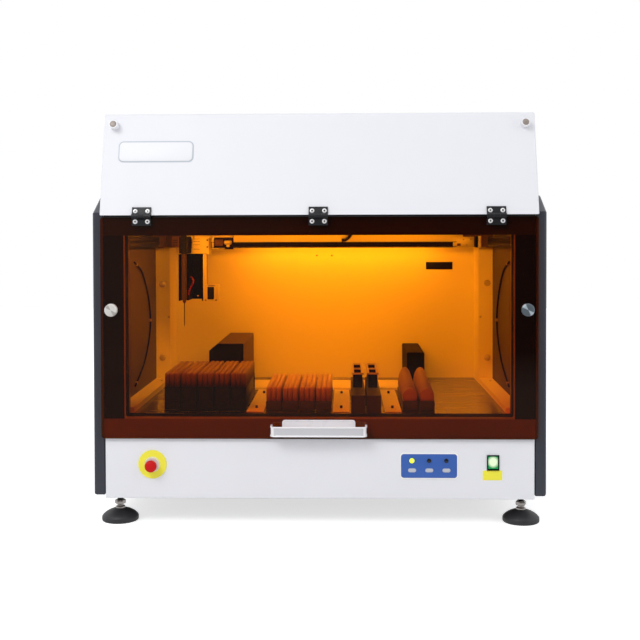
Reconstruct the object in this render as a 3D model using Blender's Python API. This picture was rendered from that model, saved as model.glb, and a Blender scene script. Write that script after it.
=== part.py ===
"""Enzyme immunoassay processor: a bench cabinet with a lift-up amber door, a pipetting
gantry, a deck of sample, reagent and bottle racks, and controls on its lower front panel.

Metres, +Z up, the front faces -Y. The origin is on the floor under the middle.
"""
import math

import bmesh
import bpy
from mathutils import Vector

# Fits
SEAT = 0.0003
RUNNING = 0.0005
OVERRUN = 0.003
JOIN = 0.0005

# Whole body
WIDTH = 0.950
HEIGHT = 0.872
BODY_DEPTH = 0.760
BODY_BOTTOM = 0.059
SHEET = 0.002
PLATE = 0.003
SHARP_DEGREES = 35

# Side covers
COVER_THICK = 0.023
COVER_LIFT = 0.007
COVER_RISE = 0.006
COVER_SLOPE_RUN = 0.070
COVER_SLOPE_RISE = 0.036
COVER_ROUND = 0.006

# Lower front panel and the frame round the opening
PANEL_TOP = 0.186
PANEL_RETURN = 0.012
PANEL_INSET = 0.0017
PANEL_CHAMFER = 0.001
JAMB_WIDTH = 0.0457
JAMB_DEPTH = 0.048
HEADER_HEIGHT = 0.0385
SILL_HEIGHT = 0.044

# Hood
HOOD_BOTTOM = 0.6545
HOOD_OVERLAP = 0.006
HOOD_SLOPE_DEGREES = 15
HOOD_WALL = 0.0025
HOOD_ROUND = 0.007
HOOD_EDGE_ROUND = 0.003
BUMPER_INSET = 0.0228
BUMPER_DROP = 0.026
BUMPER_RADIUS = 0.0095
BUMPER_REACH = 0.017
BUMPER_LIP = 0.0012

# Door
DOOR_STANDOFF = 0.001
DOOR_THICK = 0.008
DOOR_OVERLAP = 0.004
DOOR_GAP = 0.004
DOOR_LIFT = 0.001
DOOR_ROUND = 0.006
CAP_INSET = 0.0225
CAP_DROP = 0.196
CAP_RADIUS = 0.0135
CAP_HEIGHT = 0.008
CAP_CHAMFER = 0.002

# Door handle
GRIP_LENGTH = 0.201
GRIP_HEIGHT = 0.021
GRIP_REACH = 0.030
GRIP_WALL = 0.004
GRIP_ROUND = 0.012
GRIP_LIFT = 0.009
BACKPLATE_LENGTH = 0.153
BACKPLATE_HEIGHT = 0.031
BACKPLATE_ROUND = 0.006

# Hinges
HINGE_INSET = 0.089
HINGE_LENGTH = 0.040
LEAF_LENGTH = 0.020
KNUCKLE_RADIUS = 0.005
PIN_RADIUS = 0.0025
CURL_DEGREES = 290

# Levelling feet
FOOT_INSET = 0.045
FOOT_SETBACK = 0.050
PAD_RADIUS = 0.040
PAD_RIM = 0.006
PAD_HEIGHT = 0.036
COLLAR_RADIUS = 0.0105
STEM_RADIUS = 0.006
STEM_ABOVE = 0.022
LOCK_NUT_HEIGHT = 0.008
PAD_SHARES = ((0.86, 0.45), (0.55, 0.80))

# Emergency stop
STOP_INSET = 0.1012
STOP_HEIGHT = 0.131
STOP_DISC_RADIUS = 0.030
STOP_DISC_THICK = 0.002
STOP_COLLAR_RADIUS = 0.0165
STOP_COLLAR_REACH = 0.006
STOP_BARREL_RADIUS = 0.0108
STOP_BARREL_DEPTH = 0.026
STOP_HEAD_RADIUS = 0.0135
STOP_HEAD_THICK = 0.011
STOP_HEAD_STANDOFF = 0.008
STOP_STEM_RADIUS = 0.006
STOP_TRAVEL = 0.004
STOP_COLLAR_SHARE = 0.9
STOP_HEAD_SHARES = ((0.92, 0), (1, 0.3), (0.92, 0.7), (0.6, 0.94), (0.3, 1))

# Indicator panel
INDICATOR_INSET = 0.2215
INDICATOR_HEIGHT = 0.129
INDICATOR_WIDTH = 0.117
INDICATOR_TALL = 0.050
INDICATOR_THICK = 0.0015
INDICATOR_ROUND = 0.008
LAMP_PITCH = 0.0358
LAMP_RISE = 0.011
LAMP_RADIUS = 0.0055
LAMP_REACH = 0.003
LAMP_SHARES = ((1, 0.4), (0.8, 0.8), (0.35, 1))

# Power rocker
ROCKER_INSET = 0.0881
ROCKER_CENTRE = 0.136
ROCKER_WIDTH = 0.020
ROCKER_TALL = 0.025
ROCKER_SWING_DEGREES = 8
ROCKER_PROUD = 0.005
ROCKER_DISH = 0.002
ROCKER_BACK = 0.0035
ROCKER_BACK_SHARE = 0.8
BEZEL_RIM = 0.0022
BEZEL_THICK = 0.0025
BEZEL_WALL = 0.0014
BEZEL_DEPTH = 0.012
ROCKER_CLEARANCE = 0.0013
ROCKER_AXLE_DEPTH = 0.0015

# Chamber
CHAMBER_INSET = 0.0187
CHAMBER_DEPTH = 0.596
WALL_BELOW_HEADER = 0.033
DECK_STEP = 0.001
DECK_THICK = 0.005
POST_WIDTH = 0.036
POST_DEPTH = 0.100
LEDGE_WIDTH = 0.035
LEDGE_HEIGHT = 0.012
LAMP_BAR_INSET = 0.146
LAMP_BAR_HEIGHT = 0.020
LAMP_BAR_DEPTH = 0.054
LAMP_BAR_SETBACK = 0.010
LAMP_BAR_LIP = 0.007

# Tubes clipped to the chamber's side walls
SIDE_TUBE_RADIUS = 0.002

# Racks on the deck, from left to right
ROW_MARGIN_SHARE = 0.28
ROW_SETBACK = 0.042
STRIP_MARGIN = 0.0035
STRIP_THICK = 0.002
STRIP_FRONT = 0.012
STRIP_WIDTH = 0.036
RACK_WIDTH = 0.034
RACK_LENGTH = 0.222
RACK_CLEARANCE = 0.0024
SAMPLE_RACKS = 5
SAMPLE_BASE = 0.0175
SAMPLE_WAIST_INSET = 0.001
SAMPLE_PLATE = 0.003
SAMPLE_TOP = 0.048
SAMPLE_TUBE_RADIUS = 0.006
SAMPLE_TUBE_HEIGHT = 0.080
SAMPLE_TUBE_SPACING = 0.0166
SAMPLE_TUBES = 10
REAGENT_RACKS = 4
REAGENT_BASE = 0.0175
REAGENT_VIAL_RADIUS = 0.0068
REAGENT_VIAL_HEIGHT = 0.0495
REAGENT_VIAL_SPACING = 0.0162
REAGENT_VIALS = 7
REAGENT_POCKET = 0.008
RACK_END_WALL = 0.003
RACK_FLOOR = 0.003
STOPPER_RISE_SHARE = 0.6
STOPPER_TOP_SHARE = 0.55
BOTTLE_RACKS = 2
BOTTLE_BASE = 0.0185
BOTTLE_HALF = 0.0162
BOTTLE_FOOT_HALF = 0.0140
BOTTLE_WAIST = 0.011
BOTTLE_FRONT_HEIGHT = 0.048
BOTTLE_BACK_HEIGHT = 0.066
BOTTLE_SPACE = 0.0008
BOTTLES = 13
BOTTLE_ARC_STEPS = 6

# Tall reagent troughs
TROUGHS = 2
TROUGH_WIDTH = 0.030
TROUGH_PITCH = 0.034
TROUGH_FORWARD = 0.042
TROUGH_LEDGE = 0.112
TROUGH_STEP_HEIGHT = 0.038
TROUGH_HEIGHT = 0.071
TROUGH_BACKWARD = 0.0207
TROUGH_MARGIN = 0.0045
TROUGH_WALL = 0.002
TROUGH_UPPER_WIDTH = 0.0205
TROUGH_RIM_WIDTH = 0.0262
TROUGH_RIM_HEIGHT = 0.003
TROUGH_RIM_REACH = 0.0025

# Modules at the rear of the deck
READER_INSET = 0.2025
READER_WIDTH = 0.083
READER_HEIGHT = 0.1202
READER_GAP = 0.004
READER_CHAMFER_WIDE = 0.021
READER_CHAMFER_TALL = 0.017
INCUBATOR_INSET = 0.205
INCUBATOR_WIDTH = 0.043
INCUBATOR_HEIGHT = 0.092
INCUBATOR_GAP = 0.068
MODULE_CHAMFER = 0.002
REAR_MARGIN = 0.004
PLATFORM_GAP = 0.063
PLATFORM_DEPTH = 0.135
PLATFORM_HEIGHT = 0.006
PLATFORM_MARGIN = 0.005

# Gantry
RAIL_RISE = 0.008
RAIL_HEIGHT = 0.020
RAIL_WIDTH = 0.036
RAIL_FRONT = 0.060
RAIL_GROOVE = 0.004
TRUCK_WALL = 0.016
TRUCK_ROOF = 0.012
TRUCK_INSET = 0.024
TRUCK_LENGTH = 0.064
BEAM_HEIGHT = 0.040
BEAM_THICK = 0.030
BEAM_SLOT = 0.006
BEAM_RISE = 0.002
BEAM_GAP = 0.138
BELT_RADIUS = 0.0068
BELT_THICK = 0.0015
BELT_WIDTH = 0.006
BELT_STANDOFF = 0.0025
PULLEY_INSET = 0.042
MOTOR_SIDE = 0.042
MOTOR_DEPTH = 0.040
MOTOR_CHAMFER = 0.004

# Carriage and probe
CARRIAGE_INSET = 0.073
CARRIAGE_WIDTH = 0.041
CARRIAGE_DEPTH = 0.046
CARRIAGE_HEIGHT = 0.042
CARRIAGE_COVER = 0.012
HOUSING_DROP = 0.028
CARRIAGE_RIDGE = 0.002
CARRIAGE_RIDGES = 4
HOUSING_WIDTH = 0.059
HOUSING_HEIGHT = 0.112
HOUSING_DEPTH = 0.080
HOUSING_WALL = 0.003
HOUSING_OFFSET = 0.038
HOUSING_RIB_WIDTH = 0.018
HOUSING_RIB_SETBACK = 0.0165
BAR_SIDE = 0.012
BAR_LENGTH = 0.236
NEEDLE_RADIUS = 0.0012
NEEDLE_TIP_RADIUS = 0.0006
NEEDLE_LENGTH = 0.064
NEEDLE_COLLAR_RADIUS = 0.004
NEEDLE_COLLAR_HEIGHT = 0.008
NEEDLE_COLLAR_SHARES = ((1, 0.7), (0.45, 1), (0.3, 1.2))
SENSOR_STRIP = 0.0065
SENSOR_WIDTH = 0.030
SENSOR_HEIGHT = 0.039
SENSOR_DEPTH = 0.024
SENSOR_SLOT_WIDTH = 0.009
SENSOR_SLOT_HEIGHT = 0.028

# Rear fittings
VENT_LENGTH = 0.090
VENT_HEIGHT = 0.004
VENT_PITCH = 0.012
VENTS = 10
VENT_SPREAD_SHARE = 0.443
VENT_TOP = 0.480
INLET_INSET = 0.1217
INLET_HEIGHT = 0.120
INLET_WIDTH = 0.048
INLET_TALL = 0.028
INLET_FLANGE = 0.006
INLET_THICK = 0.003
INLET_DEPTH = 0.022
INLET_WALL = 0.002

# Places worked out from the sizes above
COVER_INNER = WIDTH / 2 - COVER_THICK
BODY_HALF = COVER_INNER - SEAT
REAR_SEAT = BODY_DEPTH - HOOD_WALL
FRONT_REACH = DOOR_STANDOFF + DOOR_THICK + SEAT + GRIP_REACH
REAR_REACH = REAR_SEAT + SHEET + SEAT + INLET_THICK
FRONT_Y = FRONT_REACH - (FRONT_REACH + REAR_REACH) / 2
OPENING_HALF = BODY_HALF - JAMB_WIDTH
OPENING_BOTTOM = PANEL_TOP + SILL_HEIGHT
DOOR_TOP = HOOD_BOTTOM - DOOR_GAP
DOOR_BOTTOM = PANEL_TOP + DOOR_LIFT
DOOR_HALF = COVER_INNER + DOOR_OVERLAP
OPENING_TOP = DOOR_TOP - HEADER_HEIGHT
CHASSIS_BOTTOM = BODY_BOTTOM + PLATE
CHASSIS_INNER = BODY_HALF - PLATE
CHAMBER_HALF = BODY_HALF - CHAMBER_INSET
DECK_TOP = OPENING_BOTTOM + DECK_STEP
DECK_FRONT = JAMB_DEPTH + SEAT
DECK_SEAT = DECK_TOP + SEAT
WALL_TOP = OPENING_TOP - WALL_BELOW_HEADER
ROW_FRONT = DECK_FRONT + ROW_SETBACK
ROW_BACK = ROW_FRONT + RACK_LENGTH
PIN_DEPTH = -(DOOR_STANDOFF + DOOR_THICK + SEAT + KNUCKLE_RADIUS)
PIN_HEIGHT = HOOD_BOTTOM - DOOR_GAP / 2
DOOR_FACE = -(DOOR_STANDOFF + DOOR_THICK)
SLOPE = math.radians(HOOD_SLOPE_DEGREES)
HOOD_HALF = COVER_INNER + HOOD_OVERLAP
BUMPER_SPREAD = HOOD_HALF - BUMPER_INSET
CAP_SPREAD = DOOR_HALF - CAP_INSET
HINGE_SPREAD = HOOD_HALF - HINGE_INSET
STOP_OFFSET = STOP_INSET - BODY_HALF
INDICATOR_OFFSET = BODY_HALF - INDICATOR_INSET
ROCKER_OFFSET = BODY_HALF - ROCKER_INSET
INLET_OFFSET = BODY_HALF - INLET_INSET
VENT_SPREAD = BODY_HALF * VENT_SPREAD_SHARE
READER_OFFSET = READER_INSET - CHAMBER_HALF
INCUBATOR_OFFSET = CHAMBER_HALF - INCUBATOR_INSET
LAMP_BAR_HALF = OPENING_HALF - LAMP_BAR_INSET
BEAM_FRONT = ROW_BACK + BEAM_GAP
BEAM_BOTTOM = WALL_TOP + BEAM_RISE
RAIL_INNER = CHASSIS_INNER - SEAT - RAIL_WIDTH
RAIL_BOTTOM = WALL_TOP + RAIL_RISE
BEAM_HALF = RAIL_INNER - RUNNING - TRUCK_WALL + JOIN
BELT_CENTRE = BEAM_BOTTOM + BELT_RADIUS
BELT_BACK = BEAM_FRONT - BELT_STANDOFF
BELT_FRONT = BELT_BACK - BELT_WIDTH

# The two sides, as the sign of X and a word
SIDES = ((-1, "left"), (1, "right"))

# Finishes: colour, roughness, metallic
WHITE_PAINT = ((0.86, 0.87, 0.88), 0.35, 0.0)
DARK_PAINT = ((0.05, 0.05, 0.055), 0.45, 0.0)
BLACK_PLASTIC = ((0.025, 0.026, 0.03), 0.5, 0.0)
STEEL = ((0.62, 0.63, 0.64), 0.35, 1.0)
CHROME = ((0.80, 0.80, 0.80), 0.12, 1.0)
ALUMINIUM = ((0.74, 0.75, 0.76), 0.3, 1.0)
AMBER = ((0.75, 0.30, 0.04), 0.05, 0.0)
RUBBER = ((0.02, 0.02, 0.02), 0.8, 0.0)
YELLOW = ((0.90, 0.68, 0.05), 0.4, 0.0)
RED = ((0.70, 0.04, 0.03), 0.35, 0.0)
BLUE = ((0.06, 0.16, 0.42), 0.35, 0.0)
GREEN = ((0.30, 0.85, 0.35), 0.3, 0.0)
DIFFUSER = ((0.95, 0.95, 0.92), 0.4, 0.0)


def clear_scene():
    """Removes whatever the open file holds."""
    for obj in list(bpy.data.objects):
        bpy.data.objects.remove(obj, do_unlink=True)


def at(depth):
    """The Y of a depth behind the front plane."""
    return FRONT_Y + depth


# Shapes


def loft(bm, rings, loop=False):
    """Skins rings of points in turn; the ends are capped unless the last ring meets the first."""
    loops = [[bm.verts.new(point) for point in ring] for ring in rings]
    following = loops[1:] + (loops[:1] if loop else [])
    count = len(rings[0])
    for low, high in zip(loops, following):
        for n in range(count):
            m = (n + 1) % count
            bm.faces.new((low[n], low[m], high[m], high[n]))
    if not loop:
        bm.faces.new(loops[0])
        bm.faces.new(loops[-1])


def prism(bm, outline, across, low, high):
    """Extrudes an outline: (y, z) across X, (x, z) across Y or (x, y) across Z."""
    place = {
        "X": lambda a, b, c: (c, a, b),
        "Y": lambda a, b, c: (a, c, b),
        "Z": lambda a, b, c: (a, b, c),
    }[across]
    loft(bm, [[place(a, b, end) for a, b in outline] for end in (low, high)])


def block(bm, x, y, z):
    """A box between pairs of limits."""
    prism(bm, rectangle(x, z), "Y", *y)


def rectangle(x, z):
    """Four corners between pairs of limits."""
    return [(x[0], z[0]), (x[1], z[0]), (x[1], z[1]), (x[0], z[1])]


def rounded(x, z, radius, steps=4):
    """A rectangle with round corners."""
    centres = (
        (x[1] - radius, z[0] + radius, -90),
        (x[1] - radius, z[1] - radius, 0),
        (x[0] + radius, z[1] - radius, 90),
        (x[0] + radius, z[0] + radius, 180),
    )
    points = []
    for cx, cz, start in centres:
        points += arc((cx, cz), radius, start, start + 90, steps)
    return points


def arc(centre, radius, start, end, steps):
    """Points of an arc, with its angles in degrees."""
    angles = [math.radians(start + (end - start) * n / steps) for n in range(steps + 1)]
    return [(centre[0] + radius * math.cos(a), centre[1] + radius * math.sin(a)) for a in angles]


def turned(bm, centre, axis, profile, sides):
    """Revolves a profile of (radius, distance along the axis)."""
    turn = Vector((0, 0, 1)).rotation_difference(Vector(axis)).to_matrix()
    rings = []
    for radius, along in profile:
        angles = [2 * math.pi * (n + 0.5) / sides for n in range(sides)]
        ring = [Vector((radius * math.cos(a), radius * math.sin(a), along)) for a in angles]
        rings.append([Vector(centre) + turn @ point for point in ring])
    loft(bm, rings)


def collar(bm, centre, axis, profile, sides):
    """Revolves a closed profile that keeps a bore open."""
    turn = Vector((0, 0, 1)).rotation_difference(Vector(axis)).to_matrix()
    sections = []
    for n in range(sides):
        a = 2 * math.pi * (n + 0.5) / sides
        section = [Vector((r * math.cos(a), r * math.sin(a), along)) for r, along in profile]
        sections.append([Vector(centre) + turn @ point for point in section])
    loft(bm, sections, loop=True)


def smooth_path(points, steps):
    """A curve through the points, with some steps between each two."""
    ends = [2 * points[0] - points[1]] + points + [2 * points[-1] - points[-2]]
    path = []
    for a, b, c, d in zip(ends, ends[1:], ends[2:], ends[3:]):
        for n in range(steps):
            t = n / steps
            bend = (2 * a - 5 * b + 4 * c - d) * t * t + (3 * (b - c) + d - a) * t * t * t
            path.append((2 * b + (c - a) * t + bend) / 2)
    return path + [points[-1]]


def flat_tube(bm, path, normal, radius, sides):
    """A tube along a path that lies in the plane of a normal."""
    rings = []
    for n, point in enumerate(path):
        ahead = path[min(n + 1, len(path) - 1)] - path[max(n - 1, 0)]
        aside = ahead.cross(normal).normalized()
        angles = [2 * math.pi * k / sides for k in range(sides)]
        rings.append([point + radius * (math.cos(a) * aside + math.sin(a) * normal) for a in angles])
    loft(bm, rings)


# Objects


def finish(name, finish_values):
    """A material with a colour, a roughness and a metallic value."""
    colour, roughness, metallic = finish_values
    material = bpy.data.materials.new(name)
    material.use_nodes = True
    shader = material.node_tree.nodes["Principled BSDF"]
    shader.inputs["Base Color"].default_value = (*colour, 1)
    shader.inputs["Roughness"].default_value = roughness
    shader.inputs["Metallic"].default_value = metallic
    material.diffuse_color = (*colour, 1)
    return material


def piece(name, bm, look, pivot=(0, 0, 0), smooth=False):
    """Makes an object of a mesh, with its origin at its pivot and its faces pointing out."""
    bmesh.ops.recalc_face_normals(bm, faces=bm.faces)
    bmesh.ops.translate(bm, vec=-Vector(pivot), verts=bm.verts)
    mesh = bpy.data.meshes.new(name)
    bm.to_mesh(mesh)
    bm.free()
    if smooth:
        mesh.shade_smooth()
        mesh.set_sharp_from_angle(angle=math.radians(SHARP_DEGREES))
    mesh.materials.append(finish(name, look))
    obj = bpy.data.objects.new(name, mesh)
    obj.location = pivot
    bpy.context.collection.objects.link(obj)
    return obj


def shape_with(body, name, bm, operation):
    """Cuts a body with a hidden mesh, or joins the mesh to it."""
    bmesh.ops.recalc_face_normals(bm, faces=bm.faces)
    mesh = bpy.data.meshes.new(name)
    bm.to_mesh(mesh)
    bm.free()
    guide = bpy.data.objects.new(name, mesh)
    bpy.context.collection.objects.link(guide)
    guide.hide_render = True
    guide.display_type = "WIRE"
    modifier = body.modifiers.new(name, "BOOLEAN")
    modifier.operation = operation
    modifier.solver = "EXACT"
    modifier.object = guide


def bevel_outer(bm, axis, place, width, segments):
    """Rounds the edges of the face that lies at a place along an axis."""
    near = SEAT / 2
    edges = [e for e in bm.edges if all(abs(v.co[axis] - place) < near for v in e.verts)]
    bmesh.ops.bevel(
        bm,
        geom=edges,
        offset=width,
        segments=segments,
        profile=0.5,
        affect="EDGES",
        clamp_overlap=True,
    )


# Body


def chassis():
    """A U of plate steel that carries the feet, the deck, the rails and all the panels."""
    top = HOOD_BOTTOM + RAIL_WIDTH
    floor = CHASSIS_BOTTOM
    outline = [
        (-BODY_HALF, floor),
        (BODY_HALF, floor),
        (BODY_HALF, top),
        (CHASSIS_INNER, top),
        (CHASSIS_INNER, floor + PLATE),
        (-CHASSIS_INNER, floor + PLATE),
        (-CHASSIS_INNER, top),
        (-BODY_HALF, top),
    ]
    bm = bmesh.new()
    prism(bm, outline, "Y", at(PANEL_RETURN + SEAT), at(REAR_SEAT - SEAT))
    body = piece("chassis", bm, STEEL)
    holes = bmesh.new()
    hole = STEM_RADIUS + RUNNING
    profile = [(hole, -OVERRUN), (hole, PLATE + OVERRUN)]
    for x, y in foot_places():
        turned(holes, (x, y, floor), (0, 0, 1), profile, 12)
    shape_with(body, "cut_foot_holes", holes, "DIFFERENCE")


def foot_places():
    """The feet's X and Y: left and right at the front, then at the back."""
    across = WIDTH / 2 - FOOT_INSET
    front, back = at(FOOT_SETBACK), at(BODY_DEPTH - FOOT_SETBACK)
    return [(-across, front), (across, front), (-across, back), (across, back)]


def levelling_feet():
    """Domed pads on threaded stems, each with a collar below and a lock nut above."""
    nut_top = CHASSIS_BOTTOM - SEAT
    nut_low = nut_top - LOCK_NUT_HEIGHT
    profile = [(PAD_RADIUS - PAD_RIM / 4, 0), (PAD_RADIUS, PAD_RIM)]
    profile += [(PAD_RADIUS * wide, PAD_HEIGHT * tall) for wide, tall in PAD_SHARES]
    profile += [
        (COLLAR_RADIUS, PAD_HEIGHT),
        (COLLAR_RADIUS, PAD_HEIGHT + PAD_RIM),
        (STEM_RADIUS, PAD_HEIGHT + PAD_RIM),
        (STEM_RADIUS, nut_low),
        (COLLAR_RADIUS, nut_low),
        (COLLAR_RADIUS, nut_top),
        (STEM_RADIUS, nut_top),
        (STEM_RADIUS, CHASSIS_BOTTOM + STEM_ABOVE),
    ]
    for n, (x, y) in enumerate(foot_places(), start=1):
        bm = bmesh.new()
        turned(bm, (0, 0, 0), (0, 0, 1), profile, 16)
        foot = piece(f"levelling_foot_{n}", bm, RUBBER, smooth=True)
        foot.location = (x, y, 0)


def front_panel():
    """The white lower panel: a pan with returned edges, cut for the stop and the rocker."""
    half = BODY_HALF - PANEL_INSET
    bm = bmesh.new()
    rings = []
    steps = (
        (PANEL_CHAMFER, 0),
        (0, PANEL_CHAMFER),
        (0, PANEL_RETURN),
        (SHEET, PANEL_RETURN),
        (SHEET, SHEET),
    )
    for inset, depth in steps:
        corners = rectangle((inset - half, half - inset), (BODY_BOTTOM + inset, PANEL_TOP - inset))
        rings.append([(x, at(depth), z) for x, z in corners])
    loft(bm, rings)
    body = piece("front_panel", bm, WHITE_PAINT)
    holes = bmesh.new()
    radius = STOP_BARREL_RADIUS + SEAT
    profile = [(radius, -OVERRUN), (radius, SHEET + OVERRUN)]
    turned(holes, (STOP_OFFSET, at(0), STOP_HEIGHT), (0, 1, 0), profile, 20)
    wide, tall = bezel_barrel()
    x = (ROCKER_OFFSET - wide - SEAT, ROCKER_OFFSET + wide + SEAT)
    z = (ROCKER_CENTRE - tall - SEAT, ROCKER_CENTRE + tall + SEAT)
    block(holes, x, (at(-OVERRUN), at(SHEET + OVERRUN)), z)
    shape_with(body, "cut_panel_holes", holes, "DIFFERENCE")


def front_frame():
    """The dark frame round the opening: a folded pan with deep returns into the chamber."""
    outer = BODY_HALF - SEAT
    low, high = PANEL_TOP + SEAT, DOOR_TOP
    opening = (OPENING_HALF, OPENING_BOTTOM, OPENING_TOP)
    steps = (
        ((outer, low, high), 0, 0),
        (opening, 0, 0),
        (opening, 0, JAMB_DEPTH),
        (opening, -PLATE, JAMB_DEPTH),
        (opening, -PLATE, PLATE),
        ((outer, low, high), PLATE, PLATE),
        ((outer, low, high), PLATE, PANEL_RETURN),
        ((outer, low, high), 0, PANEL_RETURN),
    )
    rings = []
    for (half, bottom, top), inset, depth in steps:
        corners = rectangle((inset - half, half - inset), (bottom + inset, top - inset))
        rings.append([(x, at(depth), z) for x, z in corners])
    bm = bmesh.new()
    loft(bm, rings, loop=True)
    piece("front_frame", bm, DARK_PAINT)


def side_cover(name, side):
    """A thick moulded cover whose front corner slopes back; a rebate takes the hood's skirt."""
    bottom = BODY_BOTTOM + COVER_LIFT
    bend = HOOD_BOTTOM + COVER_RISE
    outline = [
        (at(0), bottom),
        (at(BODY_DEPTH), bottom),
        (at(BODY_DEPTH), bend + COVER_SLOPE_RISE),
        (at(COVER_SLOPE_RUN), bend + COVER_SLOPE_RISE),
        (at(0), bend),
    ]
    bm = bmesh.new()
    prism(bm, outline, "X", side * COVER_INNER, side * WIDTH / 2)
    bevel_outer(bm, 0, side * WIDTH / 2, COVER_ROUND, 3)
    body = piece(name, bm, BLACK_PLASTIC, smooth=True)
    rebate = bmesh.new()
    x = sorted((side * (COVER_INNER - OVERRUN), side * (HOOD_HALF + SEAT)))
    y = (at(-OVERRUN), at(BODY_DEPTH + OVERRUN))
    block(rebate, x, y, (HOOD_BOTTOM - SEAT, HEIGHT))
    shape_with(body, f"cut_{name}_rebate", rebate, "DIFFERENCE")


def hood_edge_depth():
    """How far behind the front plane the hood's lower front edge lies."""
    off = KNUCKLE_RADIUS + SEAT
    height = PIN_HEIGHT - off * math.sin(SLOPE)
    return PIN_DEPTH + off * math.cos(SLOPE) + (HOOD_BOTTOM - height) * math.tan(SLOPE)


def hood_depth(height):
    """How far behind the front plane the hood's sloping face lies at a height."""
    return hood_edge_depth() + (height - HOOD_BOTTOM) * math.tan(SLOPE)


def hood():
    """The white hood: a sheet shell, open below, with a sloping front."""
    corner = (hood_depth(HEIGHT - HOOD_ROUND) + HOOD_ROUND / math.cos(SLOPE), HEIGHT - HOOD_ROUND)
    turn = arc(corner, HOOD_ROUND, 180 - HOOD_SLOPE_DEGREES, 90, 4)
    back = (BODY_DEPTH - HOOD_ROUND, HEIGHT - HOOD_ROUND)
    outline = [(hood_edge_depth(), HOOD_BOTTOM)]
    outline += turn
    outline += arc(back, HOOD_ROUND, 90, 0, 4)
    outline += [(BODY_DEPTH, HOOD_BOTTOM)]
    bm = bmesh.new()
    prism(bm, [(at(d), z) for d, z in outline], "X", -HOOD_HALF, HOOD_HALF)
    for side in (-1, 1):
        bevel_outer(bm, 0, side * HOOD_HALF, HOOD_EDGE_ROUND, 2)
    body = piece("hood", bm, WHITE_PAINT, smooth=True)
    shift = HOOD_WALL / math.cos(SLOPE)
    low, high = HOOD_BOTTOM - OVERRUN, HEIGHT - HOOD_WALL
    inner = [
        (hood_depth(low) + shift, low),
        (hood_depth(high) + shift, high),
        (BODY_DEPTH - HOOD_WALL, high),
        (BODY_DEPTH - HOOD_WALL, low),
    ]
    cutter = bmesh.new()
    half = HOOD_HALF - HOOD_WALL
    prism(cutter, [(at(d), z) for d, z in inner], "X", -half, half)
    shape_with(body, "cut_hood_inside", cutter, "DIFFERENCE")
    for side, word in SIDES:
        shape_with(body, f"join_magnet_bumper_{word}", magnet_bumper(side), "UNION")


def magnet_bumper(side):
    """A round bumper on the hood that holds the open door."""
    height = HEIGHT - BUMPER_DROP
    out = Vector((0, -math.cos(SLOPE), math.sin(SLOPE)))
    profile = [
        (BUMPER_RADIUS, -JOIN),
        (BUMPER_RADIUS, BUMPER_REACH - BUMPER_LIP),
        (BUMPER_RADIUS - BUMPER_LIP, BUMPER_REACH),
    ]
    bm = bmesh.new()
    turned(bm, (side * BUMPER_SPREAD, at(hood_depth(height)), height), out, profile, 16)
    return bm


def rear_panel():
    """The back sheet with two banks of vents and a cut-out for the mains inlet."""
    half = BODY_HALF - SEAT
    bm = bmesh.new()
    y = (at(REAR_SEAT), at(REAR_SEAT + SHEET))
    block(bm, (-half, half), y, (CHASSIS_BOTTOM, HOOD_BOTTOM - SEAT))
    body = piece("rear_panel", bm, WHITE_PAINT)
    holes = bmesh.new()
    deep = (at(REAR_SEAT - OVERRUN), at(REAR_SEAT + SHEET + OVERRUN))
    for side in (-1, 1):
        centre = side * VENT_SPREAD
        for n in range(VENTS):
            z = VENT_TOP - n * VENT_PITCH
            x = (centre - VENT_LENGTH / 2, centre + VENT_LENGTH / 2)
            block(holes, x, deep, (z - VENT_HEIGHT, z))
    wide, tall = INLET_WIDTH / 2 + SEAT, INLET_TALL / 2 + SEAT
    x = (INLET_OFFSET - wide, INLET_OFFSET + wide)
    block(holes, x, deep, (INLET_HEIGHT - tall, INLET_HEIGHT + tall))
    shape_with(body, "cut_rear_holes", holes, "DIFFERENCE")


def socket_rings(centre, steps):
    """Rectangular rings round a centre, given as half width, half height and Y."""
    rings = []
    for wide, tall, y in steps:
        x = (centre[0] - wide, centre[0] + wide)
        z = (centre[1] - tall, centre[1] + tall)
        rings.append([(a, y, b) for a, b in rectangle(x, z)])
    return rings


def mains_inlet():
    """A flanged inlet with an open socket that faces the back."""
    wide, tall = INLET_WIDTH / 2, INLET_TALL / 2
    seat = at(REAR_SEAT + SHEET + SEAT)
    face = seat + INLET_THICK
    inner = seat - INLET_DEPTH
    steps = (
        (wide, tall, inner),
        (wide, tall, seat),
        (wide + INLET_FLANGE, tall + INLET_FLANGE, seat),
        (wide + INLET_FLANGE, tall + INLET_FLANGE, face),
        (wide - INLET_WALL, tall - INLET_WALL, face),
        (wide - INLET_WALL, tall - INLET_WALL, inner + INLET_WALL),
    )
    bm = bmesh.new()
    loft(bm, socket_rings((INLET_OFFSET, INLET_HEIGHT), steps))
    piece("mains_inlet", bm, BLACK_PLASTIC)


# Door


def door_axis():
    """The line of the hinge pins."""
    return (0, at(PIN_DEPTH), PIN_HEIGHT)


def door_panel():
    """The amber sheet."""
    bm = bmesh.new()
    outline = rounded((-DOOR_HALF, DOOR_HALF), (DOOR_BOTTOM, DOOR_TOP), DOOR_ROUND, 3)
    prism(bm, outline, "Y", at(DOOR_FACE), at(-DOOR_STANDOFF))
    piece("door_panel", bm, AMBER, pivot=door_axis())


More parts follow.
